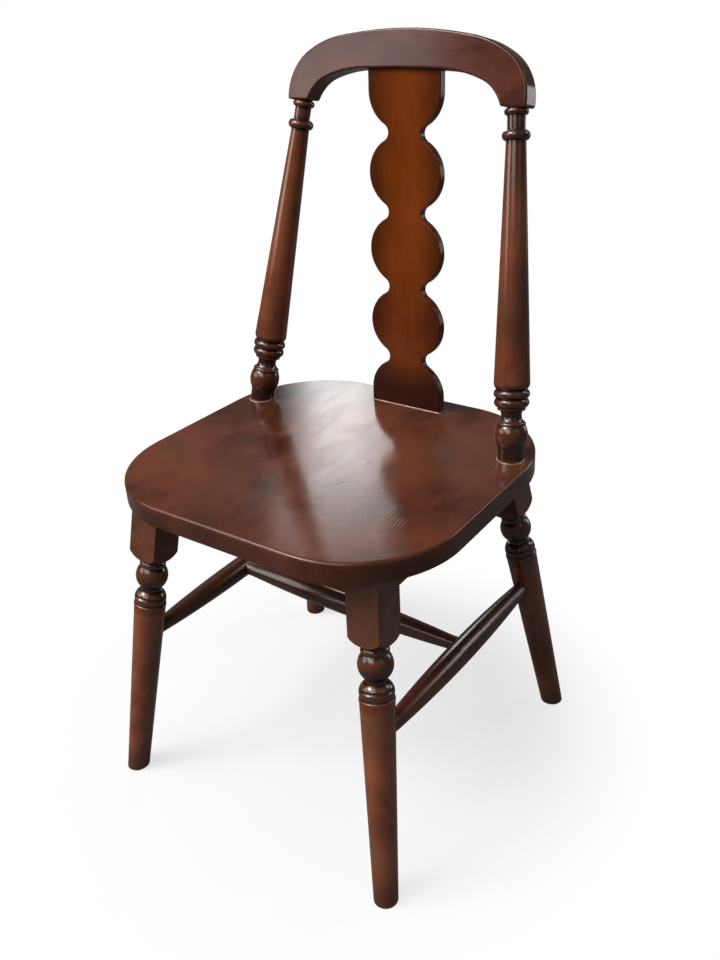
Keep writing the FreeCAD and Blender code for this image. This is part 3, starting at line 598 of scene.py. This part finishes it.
    def _patches(self, graph: Graph, place: Any) -> Signal:
        """Patches where the stain leans to another hue: broad noise with soft edges."""
        return graph.noise(self._stretched(graph, place, 0.6), 0.8 / self.cloud_size,
                           detail=3.0, roughness=0.6, distortion=0.8).step(0.42, 0.64)

    def _rubbed(self, graph: Graph, place: Any) -> Signal:
        """Small patches where use has rubbed the lacquer: noise drawn out aslant to the grain."""
        slanted = graph.vector("ShaderNodeMapping", {}, {
            "Vector": place, "Rotation": (0.0, 0.0, math.radians(-35.0)), "Scale": (1.0, 0.4, 1.0)})
        return graph.noise(slanted, 30.0, detail=4.0, distortion=0.6).step(0.35, 0.7)

    def _fibres(self, graph: Graph, place: Any) -> Signal:
        """Fine long fibres: noise squeezed hard along the grain."""
        return graph.noise(self._stretched(graph, place, 0.035), 1.0 / self.fibre_size,
                           detail=4.0, roughness=0.62, distortion=0.25).step(0.3, 0.74)

    def _pores(self, graph: Graph, place: Any) -> Signal:
        """Short dark pores: only the peaks of a squeezed noise."""
        return graph.noise(self._stretched(graph, place, 0.05), 2.2 / self.fibre_size,
                           detail=1.0).step(0.64, 0.76)


@dataclass(frozen=True)
class RawBlock(Finish):
    """Plain sawn hardwood, as inside a seat frame: fibres at 45 degrees and saw marks."""

    pale: Colour = (0.46, 0.29, 0.15)
    brown: Colour = (0.30, 0.17, 0.08)
    roughness: float = 0.62
    gloss: float = 0.3

    def inputs(self, graph: Graph, place: Any) -> dict[str, Any]:
        """Make the colour, roughness and normal."""
        squeezed = graph.vector("ShaderNodeMapping", {}, {
            "Vector": place, "Rotation": (0.0, 0.0, math.radians(45.0)), "Scale": (1.0, 0.06, 1.0)})
        fibres = graph.noise(squeezed, 420.0, detail=4.0, roughness=0.6).step(0.3, 0.7)
        saw = graph.node("ShaderNodeTexWave", {"bands_direction": "Z"}, {
            "Vector": place, "Scale": 95.0, "Distortion": 1.2, "Detail": 2.0}, "Fac")
        return {"Base Color": graph.blend(fibres, self.brown, self.pale),
                "Roughness": (fibres * 0.15 + self.roughness).clipped(),
                "Normal": graph.bump(fibres * 0.6 + saw * 0.4, 0.25, 0.0006),
                "Specular IOR Level": self.gloss}


@dataclass(frozen=True)
class ScrewSteel(Finish):
    """Zinc-plated steel with fine turning lines and a little tarnish."""

    bright: Colour = (0.62, 0.61, 0.58)
    dull: Colour = (0.36, 0.35, 0.33)
    roughness: float = 0.28

    def inputs(self, graph: Graph, place: Any) -> dict[str, Any]:
        """Make the colour, roughness and normal."""
        tarnish = graph.noise(place, 260.0, detail=3.0).step(0.4, 0.7)
        lines = graph.noise(place, 1900.0, detail=1.0)
        return {"Base Color": graph.blend(tarnish, self.bright, self.dull),
                "Roughness": (tarnish * 0.25 + self.roughness).clipped(),
                "Metallic": 1.0, "Normal": graph.bump(lines, 0.15, 0.0002)}


def grid_mesh(name: str, points: np.ndarray, closed_u: bool, closed_v: bool) -> bpy.types.Object:
    """Make a smooth mesh from a grid of points.

    Corner (i, j) joins (i, j), (i + 1, j), (i + 1, j + 1) and (i, j + 1), with the indices
    taken round where a direction is closed.

    Args:
        name: object name.
        points: array of shape (rows, columns, 3) in metres.
        closed_u: whether the last row joins the first.
        closed_v: whether the last column joins the first.

    Returns:
        The object, linked to the scene.
    """
    rows, columns = points.shape[:2]
    index = np.arange(rows * columns).reshape(rows, columns)
    if closed_u:
        index = np.concatenate([index, index[:1]], axis=0)
    if closed_v:
        index = np.concatenate([index, index[:, :1]], axis=1)
    quads = np.stack([index[:-1, :-1], index[1:, :-1], index[1:, 1:], index[:-1, 1:]], axis=-1)
    mesh = bpy.data.meshes.new(name)
    mesh.from_pydata(points.reshape(-1, 3).tolist(), [], quads.reshape(-1, 4).tolist())
    mesh.polygons.foreach_set("use_smooth", np.ones(len(mesh.polygons), dtype=bool))
    mesh.update()
    piece = bpy.data.objects.new(name, mesh)
    bpy.context.scene.collection.objects.link(piece)
    return piece


def dress(piece: bpy.types.Object, material: bpy.types.Material) -> None:
    """Give a piece one material in all its slots."""
    if not piece.data.materials:
        piece.data.materials.append(material)
    for slot in piece.material_slots:
        slot.material = material


def circle(steps: int) -> np.ndarray:
    """Evenly spaced angles of a full turn, without the one that repeats the first."""
    return np.linspace(0.0, FULL_TURN, steps + 1)[:-1]


@dataclass(frozen=True)
class Palette:
    """The chair's stains and tints. The legs' stain is the posts' wood made lighter, as painted
    light for the less light that reaches them, and the beads' pale stain is a painted highlight.
    """

    seat: Stain = Stain((0.030, 0.0072, 0.0032), (0.110, 0.0285, 0.0135), (0.150, 0.0450, 0.0210))
    crest: Stain = Stain((0.032, 0.0075, 0.0036), (0.088, 0.0215, 0.0115), (0.135, 0.0380, 0.0210))
    splat: Stain = Stain((0.022, 0.0042, 0.0015), (0.168, 0.0325, 0.0034), (0.235, 0.0530, 0.0070))
    post: Stain = Stain((0.042, 0.0105, 0.0044), (0.150, 0.0335, 0.0105), (0.240, 0.0620, 0.0210))
    # The legs' stain is lighter than the posts' to make up for the less light that reaches the
    # legs: painted light.
    leg: Stain = Stain((0.055, 0.0140, 0.0058), (0.215, 0.0540, 0.0200), (0.330, 0.0950, 0.0380))
    lip: Stain = Stain((0.055, 0.0140, 0.0058), (0.150, 0.0335, 0.0105), (0.215, 0.0540, 0.0200))
    # The beads' pale stain is a painted highlight along the lacquer's edge.
    bead: Stain = Stain((0.150, 0.0335, 0.0105), (0.300, 0.1700, 0.1300), (0.460, 0.3200, 0.2700))
    olive: Colour = (0.060, 0.0290, 0.0130)
    pale_olive: Colour = (0.165, 0.0660, 0.0310)


@dataclass
class SeatAndBack:
    """The seat slab, the splat and the crest rail."""

    nodes: dict[str, Any]
    palette: Palette

    def dress(self) -> None:
        """Give each of the three boards its own wood."""
        seat = Lacquer(
            "seat_lacquer", self.palette.seat, grain=Direction.Y, seed=2.3,
            cloud_size=0.10, fibre_size=0.003, fibre_share=0.10, roughness=0.15, gloss=0.40,
            hollow=0.035, tint=self.palette.olive, tint_share=0.45, rub=0.06,
            # The seat's side walls below the top edge are darkened as painted shade.
            shading=Shading(side=(1.0, 2.0), foot=(0.4475, 0.4380), strength=0.30),
            joints=(Joint(0.0, 0.030, 0.125),),
            scuffs=(Scuff((0.165, -0.091), 0.016, 1.66, 0.0044, 0.7),
                    Scuff((0.141, -0.076), 0.012, 1.66, 0.0046, 0.6),
                    Scuff((0.121, -0.093), 0.009, 1.66, 0.0050, 0.6),
                    Scuff((0.166, -0.126), 0.012, 1.66, 0.0046, 0.35),
                    Scuff((0.053, 0.020), 0.013, 1.75, 0.0100, 0.7, pale=False),
                    Scuff((0.055, -0.045), 0.010, 1.20, 0.0100, 0.7, pale=False)))
        crest = Lacquer(
            "crest_lacquer", self.palette.crest, grain=Direction.X, seed=5.1,
            cloud_size=0.10, fibre_share=0.22, roughness=0.14, gloss=0.39)
        splat = Lacquer(
            "splat_lacquer", self.palette.splat, grain=Direction.Z, seed=8.7,
            cloud_size=0.16, cloud_share=0.4, fibre_share=0.10, roughness=0.15, gloss=0.18,
            shading=Shading(side=(0.010, 0.052), foot=(0.545, 0.470), strength=0.95))
        for name, finish in (("seat", seat), ("crest_rail", crest), ("back_splat", splat)):
            dress(self.nodes[name], finish.build())
            LOG.info("%s dressed", name)


@dataclass(frozen=True)
class Turning:
    """A turned post or leg as it stands on the +x side, in metres.

    Its axis runs from its end at the seat to its far end. The places of its darker bands count
    upwards along the axis from that first end, so on a leg they are below zero.
    """

    start: Point
    end: Point
    stain: Stain
    tint_share: float
    glazes: tuple[GlazeAndShade, ...]

    def ends(self, side: Side) -> tuple[Vector, Vector]:
        """Both ends of the axis on one side of the chair."""
        flip = Vector((side.value, 1.0, 1.0))
        return Vector(self.start) * flip, Vector(self.end) * flip


@dataclass
class Turnings:
    """Legs, posts and stretchers."""

    nodes: dict[str, Any]
    palette: Palette
    # Leg bands: the broad one over the block is painted shade under the seat. The two on the ball
    # darken its lower half, partly as a darker tone and partly as painted shade. The one at -0.44
    # makes the leg darker towards the foot. The narrow ones are dark glazing in the grooves with
    # painted shade of the recesses.
    leg_glazes: tuple[GlazeAndShade, ...] = (
        GlazeAndShade(-0.0420, 0.0560, 0.42, core=0.8), GlazeAndShade(-0.1265, 0.0350, 0.6, core=0.9),
        GlazeAndShade(-0.1290, 0.0150, 0.3), GlazeAndShade(-0.4400, 0.0700, 0.55),
        GlazeAndShade(-0.0965, 0.0035), GlazeAndShade(-0.1055, 0.0030), GlazeAndShade(-0.1385, 0.0050),
        GlazeAndShade(-0.1485, 0.0022, 0.9, depth=0.0016), GlazeAndShade(-0.1595, 0.0028))
    # Post bands: the broad ones darken the turned ornaments at the foot and the top, partly as a
    # darker tone and partly as painted shade on their lower halves. The one at 0 is painted shade
    # where the post meets the seat. The narrow ones are dark glazing in the grooves with painted
    # shade of the recesses.
    post_glazes: tuple[GlazeAndShade, ...] = (
        GlazeAndShade(0.0470, 0.0480, 0.6, core=0.92), GlazeAndShade(0.3930, 0.0220, 0.5, core=0.9),
        GlazeAndShade(0.0000, 0.0300, 0.6), GlazeAndShade(0.0425, 0.0025),
        GlazeAndShade(0.0555, 0.0075), GlazeAndShade(0.0763, 0.0028), GlazeAndShade(0.0873, 0.0028),
        GlazeAndShade(0.3755, 0.0030), GlazeAndShade(0.3880, 0.0030), GlazeAndShade(0.4030, 0.0030), GlazeAndShade(0.4118, 0.0025))

    def legs(self) -> dict[str, Turning]:
        """The legs by the stem of their nodes' names."""
        # The legs take the lighter stain, which is painted light.
        wood = (self.palette.leg, 0.6, self.leg_glazes)
        return {"leg_front": Turning((0.165, -0.142, 0.4235), (0.215, -0.219, 0.0), *wood),
                "leg_back": Turning((0.1575, 0.169, 0.4235), (0.226, 0.217, 0.0), *wood)}

    def posts(self) -> dict[str, Turning]:
        """The posts by the stem of their nodes' names."""
        return {"back_post": Turning((0.2025, 0.112, 0.45), (0.1547, 0.2037, 0.8486),
                                     self.palette.post, 0.2, self.post_glazes)}

    def dress(self) -> None:
        """Give each turning the lacquer, with its grain along the piece."""
        for stem, turning in {**self.legs(), **self.posts()}.items():
            for side in Side:
                self._dress_turning(f"{stem}_{side.label}", turning, side, float(len(stem)))
        for name, grain, seed in (("stretcher_left", Direction.Y, 1.0),
                                  ("stretcher_right", Direction.Y, 4.0),
                                  ("stretcher_cross", Direction.X, 6.0)):
            finish = Lacquer(f"{name}_lacquer", self.palette.crest, grain=grain, cloud_size=0.08,
                             seed=seed, tint=self.palette.olive, tint_share=0.75,
                             roughness=0.20, gloss=0.8)
            dress(self.nodes[name], finish.build())
            LOG.info("%s dressed", name)

    def _dress_turning(self, name: str, turning: Turning, side: Side, seed: float) -> None:
        """Dress one leg or post.

        Args:
            name: its node.
            turning: its axis and wood.
            side: side of the chair.
            seed: seed of its pattern, which the side moves.
        """
        start, end = turning.ends(side)
        upwards = end - start if end.z > start.z else start - end
        finish = Lacquer(
            f"{name}_lacquer", turning.stain, seed=side.value * 3.0 + seed,
            turn=tuple(upwards.to_track_quat("Z", "Y").to_euler()), centre=tuple(start),
            cloud_size=0.07, fibre_share=0.08, roughness=0.14, gloss=0.70, relief=0.02,
            tint=self.palette.pale_olive, tint_share=turning.tint_share, glazes=turning.glazes)
        dress(self.nodes[name], finish.build())
        LOG.info("%s dressed", name)


@dataclass
class SeatFrame:
    """The rails under the seat, with their corner blocks and screws."""

    nodes: dict[str, Any]
    palette: Palette

    def dress(self) -> None:
        """Lacquer the rails, leave the blocks raw and plate the screws."""
        along = {"rail_front": Direction.X, "rail_back": Direction.X,
                 "rail_left": Direction.Y, "rail_right": Direction.Y}
        raw = RawBlock("block_wood").build()
        steel = ScrewSteel("screw_steel").build()
        for name, piece in self.nodes.items():
            if name in along:
                dress(piece, Lacquer(f"{name}_lacquer", self.palette.post, grain=along[name],
                                     seed=float(len(name))).build())
            elif name.endswith("_screws"):
                dress(piece, steel)
            elif name.startswith("corner_block_"):
                dress(piece, raw)
        LOG.info("seat frame dressed")


@dataclass
class ShaftLips:
    """The rounded lip on top of each leg's shaft, a turned sleeve that runs into the shaft.

    The sleeve is a profile (place along the leg's axis, radius) carried round that axis: at
    the angle a its points are axis(place) + radius * (cos a * aside + sin a * ahead).
    """

    turnings: Turnings
    palette: Palette
    profile: tuple[tuple[float, float], ...] = (
        (-0.1600, 0.0188), (-0.1601, 0.0202), (-0.1605, 0.0209), (-0.1612, 0.02135),
        (-0.1622, 0.02150), (-0.1634, 0.02145), (-0.1648, 0.02120), (-0.1664, 0.02098),
        (-0.1690, 0.02088), (-0.1720, 0.02081), (-0.1750, 0.02073), (-0.1790, 0.02050),
        (-0.1800, 0.01960), (-0.1700, 0.01880))
    around: int = 72

    def build(self) -> None:
        """Make the four lips."""
        for stem, leg in self.turnings.legs().items():
            for side in Side:
                name = f"{stem}_lip_{side.label}"
                piece = grid_mesh(name, self._sleeve(*leg.ends(side)), True, True)
                wood = Lacquer(f"{name}_lacquer", self.palette.lip, cloud_size=0.07,
                               cloud_share=0.45, fibre_share=0.08, roughness=0.14, gloss=0.70,
                               relief=0.02, seed=side.value * 3.0 + len(stem))
                dress(piece, wood.build())
                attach(piece, "root")
                LOG.info("%s made", name)

    def _sleeve(self, start: Vector, end: Vector) -> np.ndarray:
        """Points of one sleeve.

        Args:
            start: upper end of the leg's axis.
            end: its foot.

        Returns:
            Points of shape (around, profile, 3).
        """
        top = np.array(start)
        down = np.array(end) - top
        down /= np.linalg.norm(down)
        aside = np.cross(down, np.array([0.0, 1.0, 0.0]))
        aside /= np.linalg.norm(aside)
        ahead = np.cross(down, aside)
        place, radius = np.array(self.profile).T
        angle = circle(self.around)[:, None, None]
        ring = np.cos(angle) * aside + np.sin(angle) * ahead
        return top - place[None, :, None] * down + radius[None, :, None] * ring


@dataclass
class LacquerFillets:
    """Thin beads of lacquer where the posts and the splat meet the seat, coloured pale as a painted
    highlight along them.

    A bead is a quarter-round hollow carried along a closed path on the seat: at the angle t
    from 0 to 90 degrees it stands size * (1 - sin t) outside the path and size * (1 - cos t)
    above the seat. The tuck is how far its back and its underside run into the wood. The lean
    is how far the post on the +x side goes in x and y over the rise that comes third.
    """

    palette: Palette
    seat_top: float = 0.45
    size: float = 0.0013
    tuck: float = 0.0004
    steps: int = 7
    around: int = 96
    post_centre: tuple[float, float] = (0.2025, 0.112)
    post_radius: float = 0.0165
    post_lean: Point = (-0.048, 0.092, 0.400)
    splat_front: float = 0.1855
    splat_half_width: float = 0.0554
    splat_half_depth: float = 0.0060
    splat_corner: float = 0.0012

    def build(self) -> None:
        """Make the beads round both posts and round the foot of the splat."""
        pieces = [self._bead(f"post_bead_{side.label}", *self._ellipse(side)) for side in Side]
        pieces.append(self._bead("splat_bead", *self._board()))
        # The beads' pale colour is a painted highlight.
        finish = Lacquer("bead_lacquer", self.palette.bead, cloud_size=0.02, fibre_share=0.1,
                         roughness=0.2).build()
        for piece in pieces:
            dress(piece, finish)
            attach(piece, "root")
            LOG.info("%s made", piece.name)

    def _ellipse(self, side: Side) -> tuple[np.ndarray, np.ndarray]:
        """Path round a post: where its leaning foot of radius r cuts the seat.

        The cut is a circle of radius r stretched by 1 / cos(lean) along the lean.

        Args:
            side: side of the chair.

        Returns:
            Points of the path and its outward directions, both of shape (n, 2).
        """
        lean = np.array([self.post_lean[0] * side.value, self.post_lean[1]])
        rise = self.post_lean[2]
        stretch = math.hypot(rise, np.linalg.norm(lean)) / rise
        along = lean / np.linalg.norm(lean)
        aside = np.array([-along[1], along[0]])
        angle = circle(self.around)[:, None]
        centre = np.array([self.post_centre[0] * side.value, self.post_centre[1]])
        points = centre + self.post_radius * (
            stretch * np.cos(angle) * along + np.sin(angle) * aside)
        out = np.cos(angle) * along / stretch + np.sin(angle) * aside
        return points, out / np.linalg.norm(out, axis=1, keepdims=True)

    def _board(self) -> tuple[np.ndarray, np.ndarray]:
        """Path round the splat's foot: a rectangle with rounded corners.

        Each corner is a quarter circle of the corner radius round its own centre, and the
        straight sides are the gaps between two corners.

        Returns:
            Points of the path and its outward directions, both of shape (n, 2).
        """
        radius = self.splat_corner
        middle = np.array([0.0, self.splat_front + self.splat_half_depth])
        angle = np.linspace(0.0, FULL_TURN / 4.0, self.steps)
        turns = np.concatenate([angle + quarter * FULL_TURN / 4.0 for quarter in range(4)])
        right_or_left = np.repeat(np.array([1.0, -1.0, -1.0, 1.0]), self.steps)
        back_or_front = np.repeat(np.array([1.0, 1.0, -1.0, -1.0]), self.steps)
        centres = np.stack([right_or_left * (self.splat_half_width - radius),
                            back_or_front * (self.splat_half_depth - radius)], axis=1)
        out = np.stack([np.cos(turns), np.sin(turns)], axis=1)
        return middle + centres + radius * out, out

    def _bead(self, name: str, path: np.ndarray, out: np.ndarray) -> bpy.types.Object:
        """Carry the bead's hollow profile along a path.

        Args:
            name: piece name.
            path: points on the seat, shape (n, 2).
            out: outward directions, shape (n, 2).

        Returns:
            The closed ring.
        """
        turn = np.linspace(0.0, FULL_TURN / 4.0, self.steps)
        aside = np.append(self.size * (1.0 - np.sin(turn)), -2.0 * self.tuck)
        above = np.append(self.size * (1.0 - np.cos(turn)), -self.tuck)
        aside[self.steps - 1] = -self.tuck
        flat = path[:, None, :] + out[:, None, :] * aside[None, :, None]
        height = np.broadcast_to(self.seat_top + above[None, :], flat.shape[:2])
        return grid_mesh(name, np.concatenate([flat, height[..., None]], axis=2), True, True)


@dataclass
class Camera:
    """The camera at the photograph's place.

    Angles are in radians and the place in metres. The lens and the sensor are in millimetres.
    """

    place: Point = (0.70563, -0.876, 1.01274)
    yaw: float = 0.642107
    pitch: float = 0.488038
    roll: float = -0.061070
    lens: float = 37.026
    sensor: float = 36.0
    reach: float = 100.0

    def build(self) -> None:
        """Add the camera and make it the scene's."""
        ahead = Vector((-math.sin(self.yaw) * math.cos(self.pitch),
                        math.cos(self.yaw) * math.cos(self.pitch), -math.sin(self.pitch)))
        level = Vector((math.cos(self.yaw), math.sin(self.yaw), 0.0))
        above = level.cross(ahead)
        right = level * math.cos(self.roll) + above * math.sin(self.roll)
        up = above * math.cos(self.roll) - level * math.sin(self.roll)
        data = bpy.data.cameras.new("camera")
        data.sensor_width = self.sensor
        data.sensor_fit = "AUTO"
        data.lens = self.lens
        data.clip_end = self.reach
        camera = bpy.data.objects.new("camera", data)
        turn = Matrix((right, up, -ahead)).transposed().to_4x4()
        camera.matrix_world = Matrix.Translation(self.place) @ turn
        bpy.context.scene.collection.objects.link(camera)
        bpy.context.scene.camera = camera


@dataclass(frozen=True)
class SoftBox:
    """A rectangular lamp that faces the chair from a distance in metres.

    Azimuth 0 is the chair's front and 90 the sitter's left, and both angles are in degrees.
    The radiance is the brightness of its face, 1 being paper white.
    """

    name: str
    azimuth: float
    elevation: float
    distance: float
    width: float
    height: float
    radiance: float

    def place(self, target: Vector) -> Vector:
        """The lamp's centre, seen from the target."""
        around = math.radians(self.azimuth)
        above = math.radians(self.elevation)
        level = math.cos(above)
        return target + self.distance * Vector((
            math.sin(around) * level, -math.cos(around) * level, math.sin(above)))


@dataclass(frozen=True)
class Pane:
    """One glowing sheet of the window behind the chair; where sheets overlap they add up.

    Left and right are metres to the camera's right from the middle of the view, and low and
    high are heights.
    """

    left: float
    right: float
    low: float
    high: float
    radiance: float


@dataclass
class Studio:
    """Floor, world, lamps and the window behind the chair.

    The wall is the way from the origin to the window's first sheet, and the sheets stand one
    behind the other. Greys and strengths are brightnesses, 1 being paper white.
    """

    view_yaw: float
    target: Point = (0.0, 0.0, 0.5)
    wall: float = 2.6
    sheet_gap: float = 0.02
    floor_rings: tuple[float, ...] = (0.0, 1.0, 3.0, 14.0)
    floor_steps: int = 64
    floor_drop: float = 0.0002
    floor_grey: float = 0.27
    floor_glow: float = 0.67
    floor_unseen: float = 0.08
    fade_centre: Point = (-0.05, 0.0, 0.0)
    fade: tuple[float, float] = (0.26, 0.50)
    world_soft: float = 0.12
    world_glossy: float = 0.05
    backdrop_glossy: float = 0.08
    boxes: tuple[SoftBox, ...] = (
        SoftBox("key", -42.0, 50.0, 3.4, 1.4, 1.15, 14.5),
        SoftBox("ceiling", -38.0, 55.0, 4.2, 5.0, 3.6, 1.9),
        SoftBox("fill", -51.0, 20.0, 3.2, 1.8, 1.0, 3.0),
        SoftBox("front", 4.0, 36.0, 3.2, 1.8, 1.2, 2.4),
        SoftBox("right", 80.0, 32.0, 3.0, 1.2, 1.2, 0.35),
        SoftBox("rim", 153.0, 3.0, 3.2, 0.9, 1.0, 2.6),
        SoftBox("side", 143.0, 28.0, 3.2, 1.0, 1.0, 2.8),
    )
    panes: tuple[Pane, ...] = (
        Pane(-0.250, 0.25, 1.20, 1.66, 0.4),
        Pane(-0.215, 0.25, 1.20, 1.82, 1.2),
        Pane(-0.175, 0.15, 1.20, 1.92, 1.5),
        Pane(-0.140, 0.07, 1.30, 1.80, 2.0),
        Pane(-0.125, 0.25, 1.20, 2.16, 1.7),
        Pane(-0.320, -0.10, 1.75, 2.26, 1.6),
    )

    def build(self) -> None:
        """Add everything that lights the object or lies under it."""
        self._floor()
        self._world()
        target = Vector(self.target)
        for box in self.boxes:
            self._lamp(box.name, box.place(target), target, (box.width, box.height), box.radiance)
        ahead = Vector((-math.sin(self.view_yaw), math.cos(self.view_yaw), 0.0))
        aside = Vector((math.cos(self.view_yaw), math.sin(self.view_yaw), 0.0))
        for number, pane in enumerate(self.panes):
            away = self.wall + self.sheet_gap * number
            centre = ahead * away + aside * ((pane.left + pane.right) / 2.0)
            centre.z = (pane.low + pane.high) / 2.0
            self._lamp(f"pane_{number}", centre, centre - ahead,
                       (pane.right - pane.left, pane.high - pane.low), pane.radiance)

    @staticmethod
    def _lamp(name: str, place: Vector, target: Vector, size: tuple[float, float],
              radiance: float) -> None:
        """Add a rectangular lamp that the camera doesn't see.

        Its power is radiance times pi times its area, the power of a flat glowing sheet.

        Args:
            name: lamp name.
            place: centre in metres.
            target: point that it faces.
            size: width and height in metres.
            radiance: brightness of its face, 1 being paper white.
        """
        data = bpy.data.lights.new(name, "AREA")
        data.shape = "RECTANGLE"
        data.size, data.size_y = size
        data.energy = radiance * math.pi * size[0] * size[1]
        lamp = bpy.data.objects.new(name, data)
        lamp.rotation_euler = (target - place).to_track_quat("-Z", "Y").to_euler()
        lamp.location = place
        lamp.visible_camera = False
        bpy.context.scene.collection.objects.link(lamp)

    def _floor(self) -> None:
        """Add a round floor: rings of points at radius r and angle a, (r cos a, r sin a, 0).

        The camera sees it as white paper that keeps the object's shadow near the object and
        fades to the backdrop's white. All other rays see a dim grey.
        """
        radius = np.array(self.floor_rings)[:, None]
        angle = circle(self.floor_steps)
        across = radius * np.cos(angle)
        points = np.stack([across, radius * np.sin(angle), np.full_like(across, -self.floor_drop)],
                          axis=-1)
        floor = grid_mesh("floor", points, False, True)
        material = bpy.data.materials.new("floor_paper")
        graph = Graph(material)
        far = graph.node("ShaderNodeVectorMath", {"operation": "DISTANCE"}, {
            0: graph.place(), 1: self.fade_centre}, "Value")
        unseen, matte = (
            graph.vector("ShaderNodeBsdfDiffuse", {}, {"Color": (*shade(WHITE, grey), 1.0)})
            for grey in (self.floor_unseen, self.floor_grey))
        glow, white = (
            graph.vector("ShaderNodeEmission", {}, {"Color": (*WHITE, 1.0), "Strength": strength})
            for strength in (self.floor_glow, 1.0))
        near = graph.vector("ShaderNodeAddShader", {}, {0: matte, 1: glow})
        faded = far.step(*self.fade)
        shown = graph.vector("ShaderNodeMixShader", {}, {0: faded, 1: near, 2: white})
        mixed = graph.vector("ShaderNodeMixShader", {}, {0: self._seen(graph), 1: unseen, 2: shown})
        graph.add("ShaderNodeOutputMaterial", {}, {"Surface": mixed})
        dress(floor, material)

    def _world(self) -> None:
        """White where the camera looks past the floor, soft grey light elsewhere."""
        world = bpy.data.worlds.new("studio")
        bpy.context.scene.world = world
        graph = Graph(world)
        glossy = graph.node("ShaderNodeLightPath", {}, {}, "Is Glossy Ray")
        strength = self.world_soft - glossy * (self.world_soft - self.world_glossy)
        soft, white = (
            graph.vector("ShaderNodeBackground", {}, {"Color": (*WHITE, 1.0), "Strength": value})
            for value in (strength, 1.0))
        mixed = graph.vector("ShaderNodeMixShader", {}, {0: self._seen(graph), 1: soft, 2: white})
        graph.add("ShaderNodeOutputWorld", {}, {"Surface": mixed})

    def _seen(self, graph: Graph) -> Signal:
        """How much of the white backdrop a ray sees: all of it straight on or through glass.

        A glossy ray sees a dim one, which keeps the lacquer's reflections deep.
        """
        path = graph.add("ShaderNodeLightPath", {}, {})
        camera, glossy, through = (Signal(graph, path.outputs[name]) for name in (
            "Is Camera Ray", "Is Glossy Ray", "Is Transmission Ray"))
        return (camera + glossy * self.backdrop_glossy + through).clipped()


def main() -> None:
    """Build the scene in order."""
    logging.basicConfig(level=logging.INFO, format="%(name)s: %(message)s")
    for item in list(bpy.data.objects):
        bpy.data.objects.remove(item)
    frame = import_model()
    nodes = frame["nodes"]
    palette = Palette()
    camera = Camera()
    camera.build()
    Studio(camera.yaw).build()
    turnings = Turnings(nodes, palette)
    for group in (SeatAndBack(nodes, palette), turnings, SeatFrame(nodes, palette)):
        group.dress()
    ShaftLips(turnings, palette).build()
    LacquerFillets(palette).build()
    bpy.context.scene.view_settings.view_transform = "Standard"
    bpy.context.view_layer.update()


if __name__ == "__main__":
    main()
